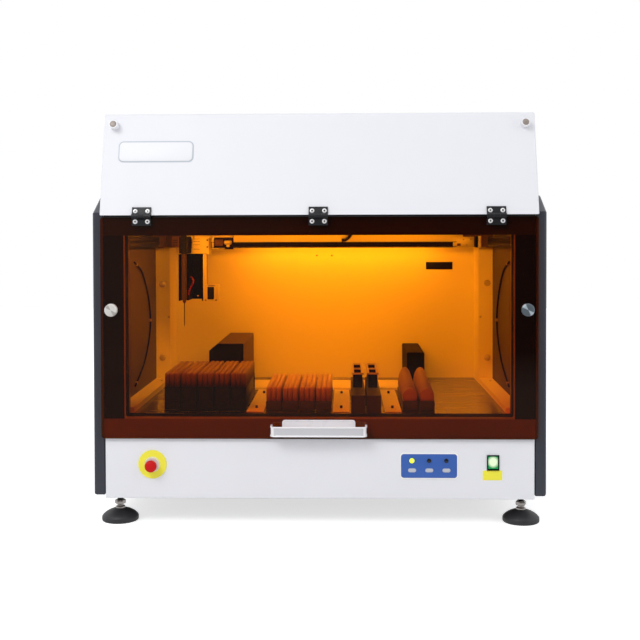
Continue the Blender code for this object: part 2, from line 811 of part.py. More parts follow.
def door_handle():
    """A pull: a bow in front, a shelf under the fingers and a plate on the door."""
    face = DOOR_FACE - SEAT
    low = DOOR_BOTTOM + GRIP_LIFT
    half = GRIP_LENGTH / 2
    front = face - GRIP_REACH
    left = arc((GRIP_ROUND - half, front + GRIP_ROUND), GRIP_ROUND, 180, 270, 5)
    right = arc((half - GRIP_ROUND, front + GRIP_ROUND), GRIP_ROUND, 270, 360, 5)
    inside = GRIP_ROUND - GRIP_WALL
    inner_right = arc((half - GRIP_ROUND, front + GRIP_ROUND), inside, 360, 270, 5)
    inner_left = arc((GRIP_ROUND - half, front + GRIP_ROUND), inside, 270, 180, 5)
    outline = [(-half, face)] + left + right + [(half, face)]
    outline += [(half - GRIP_WALL, face)] + inner_right + inner_left + [(GRIP_WALL - half, face)]
    bm = bmesh.new()
    prism(bm, [(x, at(d)) for x, d in outline], "Z", low, low + GRIP_HEIGHT)
    body = piece("door_handle", bm, WHITE_PAINT, pivot=door_axis(), smooth=True)
    shelf = bmesh.new()
    reach = half - GRIP_WALL / 2
    y = (at(front + GRIP_WALL / 2), at(face))
    block(shelf, (-reach, reach), y, (low, low + GRIP_WALL))
    shape_with(body, "join_handle_shelf", shelf, "UNION")
    plate = bmesh.new()
    wide = BACKPLATE_LENGTH / 2
    outline = rounded((-wide, wide), (low, low + BACKPLATE_HEIGHT), BACKPLATE_ROUND, 3)
    prism(plate, outline, "Y", at(face - GRIP_WALL), at(face))
    shape_with(body, "join_handle_plate", plate, "UNION")


def door_caps():
    """Two turned steel caps that meet the hood's magnets when the door is up."""
    height = PIN_HEIGHT - CAP_DROP
    profile = [
        (CAP_RADIUS, 0),
        (CAP_RADIUS, CAP_HEIGHT - CAP_CHAMFER),
        (CAP_RADIUS - CAP_CHAMFER, CAP_HEIGHT),
    ]
    for side, word in SIDES:
        bm = bmesh.new()
        seat = (side * CAP_SPREAD, at(DOOR_FACE - SEAT), height)
        turned(bm, seat, (0, -1, 0), profile, 20)
        piece(f"door_cap_{word}", bm, CHROME, pivot=door_axis(), smooth=True)


def leaf_outline(bore):
    """A leaf and its curl: distance along the leaf, and towards the face that it lies on."""
    start, end = 90, 90 + CURL_DEGREES
    inner = arc((0, 0), bore, start, end, 9)
    outer = arc((0, 0), KNUCKLE_RADIUS, end, start, 9)
    return [(LEAF_LENGTH, KNUCKLE_RADIUS), (LEAF_LENGTH, bore)] + inner + outer


def leaf_square():
    """A square round the pin that clears the other leaf's knuckles."""
    reach = KNUCKLE_RADIUS + RUNNING
    return rectangle((-reach, reach), (-reach, reach))


def hung(points):
    """Places leaf points below the pin, against the door."""
    return [(at(PIN_DEPTH) + v, PIN_HEIGHT - u) for u, v in points]


def raised(points):
    """Places leaf points above the pin, against the sloping hood."""
    sine, cosine = math.sin(SLOPE), math.cos(SLOPE)
    depth = at(PIN_DEPTH)
    return [(depth + u * sine + v * cosine, PIN_HEIGHT + u * cosine - v * sine) for u, v in points]


def hinges():
    """Three hinges: the hood's leaf has the outer knuckles and the pin, the door's the middle."""
    third = HINGE_LENGTH / 6
    for n, word in ((-1, "left"), (0, "middle"), (1, "right")):
        middle = n * HINGE_SPREAD
        low, high = middle - HINGE_LENGTH / 2, middle + HINGE_LENGTH / 2
        bm = bmesh.new()
        prism(bm, raised(leaf_outline(PIN_RADIUS - JOIN)), "X", low, high)
        fixed = piece(f"hinge_hood_leaf_{word}", bm, BLACK_PLASTIC, smooth=True)
        gap = bmesh.new()
        prism(gap, raised(leaf_square()), "X", middle - third, middle + third)
        shape_with(fixed, f"cut_hood_leaf_{word}", gap, "DIFFERENCE")
        pin = bmesh.new()
        profile = [(PIN_RADIUS, 0), (PIN_RADIUS, HINGE_LENGTH - 2 * JOIN)]
        turned(pin, (low + JOIN, at(PIN_DEPTH), PIN_HEIGHT), (1, 0, 0), profile, 12)
        shape_with(fixed, f"join_pin_{word}", pin, "UNION")
        bm = bmesh.new()
        prism(bm, hung(leaf_outline(PIN_RADIUS + SEAT)), "X", low, high)
        name = f"hinge_door_leaf_{word}"
        moving = piece(name, bm, BLACK_PLASTIC, pivot=door_axis(), smooth=True)
        for start, end in ((low - OVERRUN, middle - third + SEAT), (middle + third - SEAT, high + OVERRUN)):
            gap = bmesh.new()
            prism(gap, hung(leaf_square()), "X", start, end)
            shape_with(moving, f"cut_door_leaf_{word}", gap, "DIFFERENCE")


# Controls


def emergency_stop():
    """A yellow disc, a silver collar through the panel and a red mushroom button."""
    out = (0, -1, 0)
    centre = (STOP_OFFSET, at(-SEAT), STOP_HEIGHT)
    bore = STOP_BARREL_RADIUS + SEAT
    bm = bmesh.new()
    profile = [
        (bore, 0),
        (STOP_DISC_RADIUS, 0),
        (STOP_DISC_RADIUS, STOP_DISC_THICK),
        (bore, STOP_DISC_THICK),
    ]
    collar(bm, centre, out, profile, 24)
    piece("stop_disc", bm, YELLOW, smooth=True)
    seat = STOP_DISC_THICK + SEAT
    slide = STOP_STEM_RADIUS + SEAT
    bm = bmesh.new()
    profile = [
        (slide, -STOP_BARREL_DEPTH),
        (STOP_BARREL_RADIUS, -STOP_BARREL_DEPTH),
        (STOP_BARREL_RADIUS, seat),
        (STOP_COLLAR_RADIUS, seat),
        (STOP_COLLAR_RADIUS * STOP_COLLAR_SHARE, seat + STOP_COLLAR_REACH),
        (slide, seat + STOP_COLLAR_REACH),
    ]
    collar(bm, centre, out, profile, 20)
    piece("stop_collar", bm, ALUMINIUM, smooth=True)
    base = seat + STOP_COLLAR_REACH + STOP_HEAD_STANDOFF
    profile = [(STOP_STEM_RADIUS, STOP_TRAVEL - STOP_BARREL_DEPTH), (STOP_STEM_RADIUS, base)]
    for wide, thick in STOP_HEAD_SHARES:
        profile.append((STOP_HEAD_RADIUS * wide, base + STOP_HEAD_THICK * thick))
    bm = bmesh.new()
    turned(bm, centre, out, profile, 20)
    piece("stop_button", bm, RED, pivot=centre, smooth=True)


def indicators():
    """The blue panel with its three lamps."""
    wide, tall = INDICATOR_WIDTH / 2, INDICATOR_TALL / 2
    x = (INDICATOR_OFFSET - wide, INDICATOR_OFFSET + wide)
    z = (INDICATOR_HEIGHT - tall, INDICATOR_HEIGHT + tall)
    face = -(SEAT + INDICATOR_THICK)
    bm = bmesh.new()
    prism(bm, rounded(x, z, INDICATOR_ROUND), "Y", at(face), at(-SEAT))
    body = piece("indicator_panel", bm, BLUE)
    profile = [(LAMP_RADIUS, -JOIN)]
    profile += [(LAMP_RADIUS * wide, LAMP_REACH * tall) for wide, tall in LAMP_SHARES]
    bm = bmesh.new()
    for n in (-1, 0, 1):
        seat = (INDICATOR_OFFSET + n * LAMP_PITCH, at(face), INDICATOR_HEIGHT + LAMP_RISE)
        turned(bm, seat, (0, -1, 0), profile, 12)
    shape_with(body, "join_indicator_lamps", bm, "UNION")


def bezel_opening():
    """Half the width and height of the hole that the rocker swings in."""
    return ROCKER_WIDTH / 2 + RUNNING, ROCKER_TALL / 2 + ROCKER_CLEARANCE


def bezel_barrel():
    """Half the width and height of the bezel's barrel behind its rim."""
    wide, tall = bezel_opening()
    return wide + BEZEL_WALL, tall + BEZEL_WALL


def power_rocker():
    """The bezel, a cup through the panel, and the rocker that swings in it."""
    wide, tall = bezel_opening()
    barrel = bezel_barrel()
    seat, face = at(-SEAT), at(-SEAT - BEZEL_THICK)
    rim = (wide + BEZEL_RIM, tall + BEZEL_RIM)
    back = at(BEZEL_DEPTH)
    steps = (
        (*barrel, back),
        (*barrel, seat),
        (*rim, seat),
        (*rim, face),
        (wide, tall, face),
        (wide, tall, back - BEZEL_WALL),
    )
    bm = bmesh.new()
    loft(bm, socket_rings((ROCKER_OFFSET, ROCKER_CENTRE), steps))
    piece("rocker_bezel", bm, BLACK_PLASTIC)
    half = ROCKER_TALL / 2
    axle = (ROCKER_OFFSET, at(ROCKER_AXLE_DEPTH), ROCKER_CENTRE)
    flat = [
        (-ROCKER_PROUD, half),
        (ROCKER_DISH - ROCKER_PROUD, 0),
        (-ROCKER_PROUD, -half),
        (0, -half),
        (ROCKER_BACK, -half * ROCKER_BACK_SHARE),
        (ROCKER_BACK, half * ROCKER_BACK_SHARE),
        (0, half),
    ]
    swing = math.radians(ROCKER_SWING_DEGREES)
    sine, cosine = math.sin(swing), math.cos(swing)
    tilted = [(axle[1] + d * cosine + z * sine, axle[2] + z * cosine - d * sine) for d, z in flat]
    bm = bmesh.new()
    prism(bm, tilted, "X", ROCKER_OFFSET - ROCKER_WIDTH / 2, ROCKER_OFFSET + ROCKER_WIDTH / 2)
    piece("power_rocker", bm, GREEN, pivot=axle)


# Chamber


def chamber_walls():
    """Side walls and back wall, one folded white sheet that stands on the deck."""
    front, back = at(DECK_FRONT), at(CHAMBER_DEPTH)
    inner, outer = CHAMBER_HALF, CHAMBER_HALF + SHEET
    outline = [
        (-outer, front),
        (-inner, front),
        (-inner, back),
        (inner, back),
        (inner, front),
        (outer, front),
        (outer, back + SHEET),
        (-outer, back + SHEET),
    ]
    bm = bmesh.new()
    prism(bm, outline, "Z", DECK_SEAT, WALL_TOP)
    piece("chamber_walls", bm, WHITE_PAINT)


def chamber_corners():
    """Each side's folded corner post and, in front of it, the ledge along the side wall."""
    outer = CHAMBER_HALF - SEAT
    back = CHAMBER_DEPTH - SEAT
    front = back - POST_DEPTH
    inner = outer - POST_WIDTH
    outline = [
        (inner, front),
        (outer, front),
        (outer, front + SHEET),
        (inner + SHEET, front + SHEET),
        (inner + SHEET, back),
        (inner, back),
    ]
    for side, word in SIDES:
        bm = bmesh.new()
        prism(bm, [(side * x, at(d)) for x, d in outline], "Z", DECK_SEAT, WALL_TOP)
        body = piece(f"chamber_corner_{word}", bm, WHITE_PAINT)
        ledge = bmesh.new()
        x = sorted((side * outer, side * (outer - LEDGE_WIDTH)))
        y = (at(DECK_FRONT), at(front + JOIN))
        block(ledge, x, y, (DECK_SEAT, DECK_SEAT + LEDGE_HEIGHT))
        shape_with(body, f"join_side_ledge_{word}", ledge, "UNION")


def deck():
    """The deck plate between the chassis sides, with its raised strips and rear platform."""
    half = CHASSIS_INNER - SEAT
    bm = bmesh.new()
    y = (at(DECK_FRONT), at(CHAMBER_DEPTH + SHEET))
    block(bm, (-half, half), y, (DECK_TOP - DECK_THICK, DECK_TOP))
    body = piece("deck_plate", bm, ALUMINIUM)
    raised_parts = bmesh.new()
    low = DECK_TOP - JOIN
    y = (at(DECK_FRONT + STRIP_FRONT), at(ROW_BACK + PLATFORM_GAP - PLATFORM_MARGIN))
    for left in deck_row()[1]:
        block(raised_parts, (left, left + STRIP_WIDTH), y, (low, DECK_TOP + STRIP_THICK))
    x = (
        READER_OFFSET + READER_WIDTH / 2 + PLATFORM_MARGIN,
        INCUBATOR_OFFSET - INCUBATOR_WIDTH / 2 - PLATFORM_MARGIN,
    )
    y = (at(ROW_BACK + PLATFORM_GAP), at(ROW_BACK + PLATFORM_GAP + PLATFORM_DEPTH))
    block(raised_parts, x, y, (low, DECK_TOP + PLATFORM_HEIGHT))
    shape_with(body, "join_strips_and_platform", raised_parts, "UNION")


def chamber_lamp():
    """A lamp bar that lies on the header's return and shines back and down."""
    floor = OPENING_TOP + PLATE + SEAT
    front = LAMP_BAR_SETBACK
    back = front + LAMP_BAR_DEPTH
    outline = [
        (front, floor),
        (JAMB_DEPTH, floor),
        (back, floor + LAMP_BAR_LIP),
        (back, floor + LAMP_BAR_HEIGHT),
        (front, floor + LAMP_BAR_HEIGHT),
    ]
    bm = bmesh.new()
    prism(bm, [(at(d), z) for d, z in outline], "X", -LAMP_BAR_HALF, LAMP_BAR_HALF)
    piece("chamber_lamp", bm, DIFFUSER)


def side_tubes():
    """A black tube in a long arc along each side wall."""
    reach = CHAMBER_DEPTH - POST_DEPTH - 4 * SIDE_TUBE_RADIUS - DECK_FRONT
    rise = WALL_TOP - DECK_TOP
    route_shares = (
        (0.379, 0.917),
        (0.572, 0.845),
        (0.720, 0.701),
        (0.800, 0.543),
        (0.788, 0.399),
        (0.663, 0.241),
        (0.516, 0.155),
        (0.379, 0.095),
    )
    for side, word in SIDES:
        x = side * (CHAMBER_HALF - SEAT - SIDE_TUBE_RADIUS)
        points = []
        for depth_share, rise_share in route_shares:
            depth = DECK_FRONT + reach * depth_share
            points.append(Vector((x, at(depth), DECK_TOP + rise * rise_share)))
        bm = bmesh.new()
        flat_tube(bm, smooth_path(points, 3), Vector((1, 0, 0)), SIDE_TUBE_RADIUS, 6)
        piece(f"side_tube_{word}", bm, RUBBER, smooth=True)


# Racks and modules on the deck


def deck_row():
    """The left edge of each group on the deck, from left to right, and of each strip."""
    pitch = RACK_WIDTH + RACK_CLEARANCE
    groups = (
        ("sample", SAMPLE_RACKS * pitch - RACK_CLEARANCE),
        ("reagent", REAGENT_RACKS * pitch - RACK_CLEARANCE),
        ("trough", TROUGHS * TROUGH_PITCH - (TROUGH_PITCH - TROUGH_WIDTH) + TROUGH_MARGIN),
        ("bottle", BOTTLE_RACKS * pitch - RACK_CLEARANCE),
    )
    row = sum(width for _, width in groups)
    row += (len(groups) - 1) * (STRIP_WIDTH + 2 * STRIP_MARGIN)
    spare = 2 * (CHAMBER_HALF - LEDGE_WIDTH) - row
    edge = LEDGE_WIDTH - CHAMBER_HALF + ROW_MARGIN_SHARE * spare
    places, strips = {}, []
    for name, width in groups:
        places[name] = edge
        edge += width + STRIP_MARGIN
        strips.append(edge)
        edge += STRIP_WIDTH + STRIP_MARGIN
    return places, strips[:-1]


def rack_left(group, n):
    """The left edge of the n-th rack of a group."""
    return deck_row()[0][group] + n * (RACK_WIDTH + RACK_CLEARANCE)


def round_topped(radius, height):
    """The profile of a tube or vial with a domed stopper."""
    shoulder = height - radius * STOPPER_RISE_SHARE
    return [(radius, 0), (radius, shoulder), (radius * STOPPER_TOP_SHARE, height)]


def rows_of_tubes(bm, middle, spacing, radius, floor, height, count, sides):
    """Two columns of tubes that stand in a rack's slots."""
    length = RACK_LENGTH - 2 * RACK_END_WALL
    pitch = length / count
    profile = round_topped(radius, height)
    for column in (-1, 1):
        x = middle + column * spacing / 2
        for n in range(count):
            y = at(ROW_FRONT + RACK_END_WALL + pitch * (n + 0.5))
            turned(bm, (x, y, floor), (0, 0, 1), profile, sides)


def slots(middle, spacing, radius, floor, top):
    """A cutter for the two slots of a rack."""
    bm = bmesh.new()
    y = (at(ROW_FRONT + RACK_END_WALL), at(ROW_BACK - RACK_END_WALL))
    half = radius + SEAT
    for column in (-1, 1):
        x = middle + column * spacing / 2
        block(bm, (x - half, x + half), y, (floor, top + OVERRUN))
    return bm


def sample_racks():
    """Waisted racks with two rows of sample tubes."""
    low = DECK_SEAT
    floor = low + RACK_FLOOR
    waist = RACK_WIDTH / 2 - SAMPLE_WAIST_INSET
    half = RACK_WIDTH / 2
    profile = [
        (half, low),
        (half, low + SAMPLE_BASE),
        (waist, low + SAMPLE_BASE),
        (waist, low + SAMPLE_TOP - SAMPLE_PLATE),
        (half, low + SAMPLE_TOP - SAMPLE_PLATE),
        (half, low + SAMPLE_TOP),
    ]
    for n in range(SAMPLE_RACKS):
        middle = rack_left("sample", n) + half
        outline = [(middle + x, z) for x, z in profile]
        outline += [(middle - x, z) for x, z in reversed(profile)]
        bm = bmesh.new()
        prism(bm, outline, "Y", at(ROW_FRONT), at(ROW_BACK))
        pivot = (middle, at(ROW_FRONT), low)
        rack = piece(f"sample_rack_{n + 1}", bm, BLACK_PLASTIC, pivot=pivot)
        sizes = (SAMPLE_TUBE_SPACING, SAMPLE_TUBE_RADIUS)
        cutter = slots(middle, *sizes, floor, low + SAMPLE_TOP)
        shape_with(rack, f"cut_sample_rack_{n + 1}", cutter, "DIFFERENCE")
        tubes = bmesh.new()
        seat = floor - JOIN
        height = low + SAMPLE_TUBE_HEIGHT - seat
        rows_of_tubes(tubes, middle, *sizes, seat, height, SAMPLE_TUBES, 7)
        shape_with(rack, f"join_sample_tubes_{n + 1}", tubes, "UNION")


def reagent_racks():
    """Low racks with two rows of short vials."""
    low = DECK_SEAT
    floor = low + REAGENT_BASE - REAGENT_POCKET
    half = RACK_WIDTH / 2
    for n in range(REAGENT_RACKS):
        middle = rack_left("reagent", n) + half
        x = (middle - half, middle + half)
        bm = bmesh.new()
        block(bm, x, (at(ROW_FRONT), at(ROW_BACK)), (low, low + REAGENT_BASE))
        pivot = (middle, at(ROW_FRONT), low)
        rack = piece(f"reagent_rack_{n + 1}", bm, BLACK_PLASTIC, pivot=pivot)
        sizes = (REAGENT_VIAL_SPACING, REAGENT_VIAL_RADIUS)
        cutter = slots(middle, *sizes, floor, low + REAGENT_BASE)
        shape_with(rack, f"cut_reagent_rack_{n + 1}", cutter, "DIFFERENCE")
        vials = bmesh.new()
        seat = floor - JOIN
        height = low + REAGENT_VIAL_HEIGHT - seat
        rows_of_tubes(vials, middle, *sizes, seat, height, REAGENT_VIALS, 6)
        shape_with(rack, f"join_reagent_vials_{n + 1}", vials, "UNION")


def bottle_racks():
    """Racks with one row of flat round-topped bottles that rise towards the back."""
    low = DECK_SEAT
    base = low + BOTTLE_BASE
    half = RACK_WIDTH / 2
    pitch = (RACK_LENGTH - 2 * RACK_END_WALL) / BOTTLES
    for n in range(BOTTLE_RACKS):
        middle = rack_left("bottle", n) + half
        x = (middle - half, middle + half)
        bm = bmesh.new()
        block(bm, x, (at(ROW_FRONT), at(ROW_BACK)), (low, base))
        pivot = (middle, at(ROW_FRONT), low)
        rack = piece(f"bottle_rack_{n + 1}", bm, BLACK_PLASTIC, pivot=pivot)
        bottles = bmesh.new()
        for k in range(BOTTLES):
            share = k / (BOTTLES - 1)
            top = BOTTLE_FRONT_HEIGHT + share * (BOTTLE_BACK_HEIGHT - BOTTLE_FRONT_HEIGHT)
            start = ROW_FRONT + RACK_END_WALL + pitch * k
            outline = bottle_outline(middle, base, low + top)
            prism(bottles, outline, "Y", at(start), at(start + pitch - BOTTLE_SPACE))
        shape_with(rack, f"join_bottles_{n + 1}", bottles, "UNION")


def bottle_outline(middle, base, top):
    """The front view of a flat bottle: a narrow foot, a waist and a long round top."""
    waist = base + BOTTLE_WAIST
    points = [(middle - BOTTLE_FOOT_HALF, base - JOIN), (middle + BOTTLE_FOOT_HALF, base - JOIN)]
    for n in range(BOTTLE_ARC_STEPS + 1):
        angle = math.pi * n / BOTTLE_ARC_STEPS
        rise = (top - waist) * math.sin(angle)
        points.append((middle + BOTTLE_HALF * math.cos(angle), waist + rise))
    return points


def troughs():
    """Low holders with a narrower open trough behind, which has a rim and a partition."""
    low = DECK_SEAT
    front = ROW_FRONT - TROUGH_FORWARD
    step = front + TROUGH_LEDGE
    back = ROW_BACK + TROUGH_BACKWARD
    end = back - TROUGH_RIM_REACH
    left = deck_row()[0]["trough"]
    ledge = low + TROUGH_STEP_HEIGHT
    top = low + TROUGH_HEIGHT
    middle = (step + end) / 2
    for n in range(TROUGHS):
        centre = left + n * TROUGH_PITCH + TROUGH_WIDTH / 2
        holder, upper, rim, pockets = bmesh.new(), bmesh.new(), bmesh.new(), bmesh.new()
        x = across(centre, TROUGH_WIDTH)
        block(holder, x, (at(front), at(back)), (low, ledge))
        x = across(centre, TROUGH_UPPER_WIDTH)
        block(upper, x, (at(step), at(end)), (ledge - JOIN, top - JOIN))
        x = across(centre, TROUGH_RIM_WIDTH)
        y = (at(step - TROUGH_RIM_REACH), at(back))
        block(rim, x, y, (top - TROUGH_RIM_HEIGHT, top))
        x = across(centre, TROUGH_UPPER_WIDTH - 2 * TROUGH_WALL)
        z = (low + TROUGH_WALL, top + OVERRUN)
        for ends in ((step, middle), (middle, end)):
            block(pockets, x, (at(ends[0] + TROUGH_WALL), at(ends[1] - TROUGH_WALL)), z)
        body = piece(f"reagent_trough_{n + 1}", holder, BLACK_PLASTIC)
        shape_with(body, f"join_trough_upper_{n + 1}", upper, "UNION")
        shape_with(body, f"join_trough_rim_{n + 1}", rim, "UNION")
        shape_with(body, f"cut_trough_pockets_{n + 1}", pockets, "DIFFERENCE")


def across(centre, width):
    """The two sides of something that wide about a centre."""
    return (centre - width / 2, centre + width / 2)


def rear_modules():
    """The reader and the incubator behind the racks."""
    low = DECK_SEAT
    back = at(CHAMBER_DEPTH - REAR_MARGIN)
    left = READER_OFFSET - READER_WIDTH / 2
    right = READER_OFFSET + READER_WIDTH / 2
    top = low + READER_HEIGHT
    outline = [
        (left, low),
        (right, low),
        (right, top - MODULE_CHAMFER),
        (right - MODULE_CHAMFER, top),
        (left + READER_CHAMFER_WIDE, top),
        (left, top - READER_CHAMFER_TALL),
    ]
    bm = bmesh.new()
    prism(bm, outline, "Y", at(ROW_BACK + READER_GAP), back)
    piece("reader_module", bm, BLACK_PLASTIC)
    start = INCUBATOR_OFFSET - INCUBATOR_WIDTH / 2
    end = INCUBATOR_OFFSET + INCUBATOR_WIDTH / 2
    top = low + INCUBATOR_HEIGHT
    outline = [
        (start, low),
        (end, low),
        (end, top - MODULE_CHAMFER),
        (end - MODULE_CHAMFER, top),
        (start + MODULE_CHAMFER, top),
        (start, top - MODULE_CHAMFER),
    ]
    bm = bmesh.new()
    prism(bm, outline, "Y", at(ROW_BACK + INCUBATOR_GAP), back)
    piece("incubator_module", bm, BLACK_PLASTIC)


# Gantry


def gantry_rails():
    """Grooved rails on the chassis sides, which the beam's trucks run on."""
    outer = CHASSIS_INNER - SEAT
    middle = RAIL_BOTTOM + RAIL_HEIGHT / 2
    groove = RAIL_GROOVE
    profile = [
        (outer, RAIL_BOTTOM),
        (outer, RAIL_BOTTOM + RAIL_HEIGHT),
        (RAIL_INNER, RAIL_BOTTOM + RAIL_HEIGHT),
        (RAIL_INNER, middle + groove),
        (RAIL_INNER + groove, middle),
        (RAIL_INNER, middle - groove),
        (RAIL_INNER, RAIL_BOTTOM),
    ]
    for side, word in SIDES:
        outline = [(side * x, z) for x, z in profile]
        bm = bmesh.new()
        prism(bm, outline, "Y", at(RAIL_FRONT), at(CHAMBER_DEPTH))
        piece(f"gantry_rail_{word}", bm, ALUMINIUM)


def truck(side):
    """A block that hangs on a rail and holds one end of the beam."""
    top = RAIL_BOTTOM + RAIL_HEIGHT + RUNNING
    inner = RAIL_INNER - RUNNING
    profile = [
        (inner - TRUCK_WALL, BEAM_BOTTOM),
        (inner, BEAM_BOTTOM),
        (inner, top),
        (CHASSIS_INNER - TRUCK_INSET, top),
        (CHASSIS_INNER - TRUCK_INSET, top + TRUCK_ROOF),
        (inner - TRUCK_WALL, top + TRUCK_ROOF),
    ]
    middle = BEAM_FRONT + BEAM_THICK / 2
    y = (at(middle - TRUCK_LENGTH / 2), at(middle + TRUCK_LENGTH / 2))
    bm = bmesh.new()
    prism(bm, [(side * x, z) for x, z in profile], "Y", *y)
    return bm


def gantry_beam():
    """A slotted aluminium extrusion across the chamber, with its trucks and idle pulley."""
    front, back = at(BEAM_FRONT), at(BEAM_FRONT + BEAM_THICK)
    low, high = BEAM_BOTTOM, BEAM_BOTTOM + BEAM_HEIGHT
    slot = BEAM_SLOT / 2
    levels = (low + BEAM_HEIGHT / 4, high - BEAM_HEIGHT / 4)
    outline = [(back, low), (back, high)]
    middle = (front + back) / 2
    outline += [(middle + slot, high), (middle + slot, high - BEAM_SLOT)]
    outline += [(middle - slot, high - BEAM_SLOT), (middle - slot, high), (front, high)]
    for level in reversed(levels):
        outline += [(front, level + slot), (front + BEAM_SLOT, level + slot)]
        outline += [(front + BEAM_SLOT, level - slot), (front, level - slot)]
    outline += [(front, low)]
    bm = bmesh.new()
    prism(bm, outline, "X", -BEAM_HALF, BEAM_HALF)
    body = piece("gantry_beam", bm, ALUMINIUM)
    for side, word in SIDES:
        shape_with(body, f"join_truck_{word}", truck(side), "UNION")
    idler = bmesh.new()
    pulley(idler, pulley_places()[1], BEAM_FRONT + JOIN)
    shape_with(body, "join_idle_pulley", idler, "UNION")


def pulley_places():
    """The X of the driven and the idle pulley."""
    return PULLEY_INSET - BEAM_HALF, BEAM_HALF - PULLEY_INSET


def pulley(bm, x, back):
    """A wheel inside the belt that reaches back to a depth."""
    wheel = BELT_RADIUS - BELT_THICK - SEAT
    start = BELT_FRONT - SEAT - JOIN
    turned(bm, (x, at(start), BELT_CENTRE), (0, 1, 0), [(wheel, 0), (wheel, back - start)], 14)


def drive_belt():
    """A flat belt round two pulleys in front of the beam, and its motor."""
    left, right = pulley_places()
    outer, inner = BELT_RADIUS, BELT_RADIUS - BELT_THICK
    angles = []
    for centre, start in ((right, -90), (left, 90)):
        angles += [(centre, math.radians(start + 180 * n / 6)) for n in range(7)]
    rings = []
    for centre, angle in angles:
        ring = []
        corners = ((outer, BELT_FRONT), (outer, BELT_BACK), (inner, BELT_BACK), (inner, BELT_FRONT))
        for radius, y in corners:
            x = centre + radius * math.cos(angle)
            ring.append((x, at(y), BELT_CENTRE + radius * math.sin(angle)))
        rings.append(ring)
    bm = bmesh.new()
    loft(bm, rings, loop=True)
    piece("drive_belt", bm, RUBBER, smooth=True)
    start = BELT_FRONT - SEAT
    side = MOTOR_SIDE / 2
    bm = bmesh.new()
    x, z = (left - side, left + side), (BELT_CENTRE - side, BELT_CENTRE + side)
    outline = rounded(x, z, MOTOR_CHAMFER, 1)
    prism(bm, outline, "Y", at(start - MOTOR_DEPTH), at(start))
    body = piece("beam_motor", bm, BLACK_PLASTIC)
    shaft = bmesh.new()
    pulley(shaft, left, BEAM_FRONT - SEAT)
    shape_with(body, "join_driven_pulley", shaft, "UNION")


# Carriage and probe


def carriage_left():
    """The X of the carriage block's left side when parked."""
    return CARRIAGE_INSET - BEAM_HALF


def housing_limits():
    """The probe housing's X, depth and Z limits when parked."""
    right = carriage_left() + HOUSING_OFFSET
    top = BELT_CENTRE + BELT_RADIUS - HOUSING_DROP
    back = BELT_FRONT - RUNNING - CARRIAGE_DEPTH - SEAT
    return (right - HOUSING_WIDTH, right), (back - HOUSING_DEPTH, back), (top - HOUSING_HEIGHT, top)


def carriage():
    """The ridged block that passes over the belt to the beam."""
    left = carriage_left()
    front = BELT_FRONT - RUNNING - CARRIAGE_DEPTH
    behind_belt = BELT_FRONT - RUNNING
    over_belt = BELT_CENTRE + BELT_RADIUS + RUNNING
    high = over_belt + CARRIAGE_COVER
    low = high - CARRIAGE_HEIGHT
    ridge = CARRIAGE_RIDGE
    outline = [
        (behind_belt, low),
        (behind_belt, over_belt),
        (BEAM_FRONT - RUNNING, over_belt),
        (BEAM_FRONT - RUNNING, high),
        (front, high),
    ]
    pitch = (high - low) / (CARRIAGE_RIDGES + 1)
    for n in range(CARRIAGE_RIDGES):
        z = high - (n + 1) * pitch
        outline += [(front, z + ridge), (front + ridge, z + ridge)]
        outline += [(front + ridge, z), (front, z)]
    outline += [(front, low)]
    bm = bmesh.new()
    prism(bm, [(at(d), z) for d, z in outline], "X", left, left + CARRIAGE_WIDTH)
    piece("carriage_block", bm, ALUMINIUM)


def probe_housing():
    """A black channel, open in front, with a rib that guides the probe bar."""
    x, d, z = housing_limits()
    wall = HOUSING_WALL
    rib = x[0] + wall + HOUSING_RIB_WIDTH
    guide = d[0] + HOUSING_RIB_SETBACK + SEAT
    outline = [
        (x[0], d[0]),
        (x[0] + wall, d[0]),
        (x[0] + wall, guide),
        (rib, guide),
        (rib, d[1] - wall),
        (x[1] - wall, d[1] - wall),
        (x[1] - wall, d[0]),
        (x[1], d[0]),
        (x[1], d[1]),
        (x[0], d[1]),
    ]
    bm = bmesh.new()
    prism(bm, [(a, at(b)) for a, b in outline], "Z", *z)
    piece("probe_housing", bm, BLACK_PLASTIC)


def probe_centre():
    """The X and depth of the probe bar's middle."""
    x, d, _ = housing_limits()
    across = x[0] + HOUSING_WALL + HOUSING_RIB_WIDTH / 2
    return across, d[0] + HOUSING_RIB_SETBACK - BAR_SIDE / 2


def probe():
    """The sliding bar and the needle under it."""
    x, depth = probe_centre()
    low = housing_limits()[2][0] + CARRIAGE_RIDGE
    half = BAR_SIDE / 2
    bm = bmesh.new()
    outline = rounded((x - half, x + half), (at(depth - half), at(depth + half)), half / 4, 1)
    prism(bm, outline, "Z", low, low + BAR_LENGTH)
    pivot = (x, at(depth), low)
    piece("probe_bar", bm, STEEL, pivot=pivot)
    profile = [(NEEDLE_COLLAR_RADIUS, SEAT)]
    for wide, tall in NEEDLE_COLLAR_SHARES:
        profile.append((NEEDLE_COLLAR_RADIUS * wide, NEEDLE_COLLAR_HEIGHT * tall))
    profile += [
        (NEEDLE_RADIUS, NEEDLE_LENGTH - NEEDLE_COLLAR_HEIGHT),
        (NEEDLE_TIP_RADIUS, NEEDLE_LENGTH),
    ]
    bm = bmesh.new()
    turned(bm, pivot, (0, 0, -1), profile, 10)
    piece("probe_needle", bm, STEEL, pivot=pivot, smooth=True)


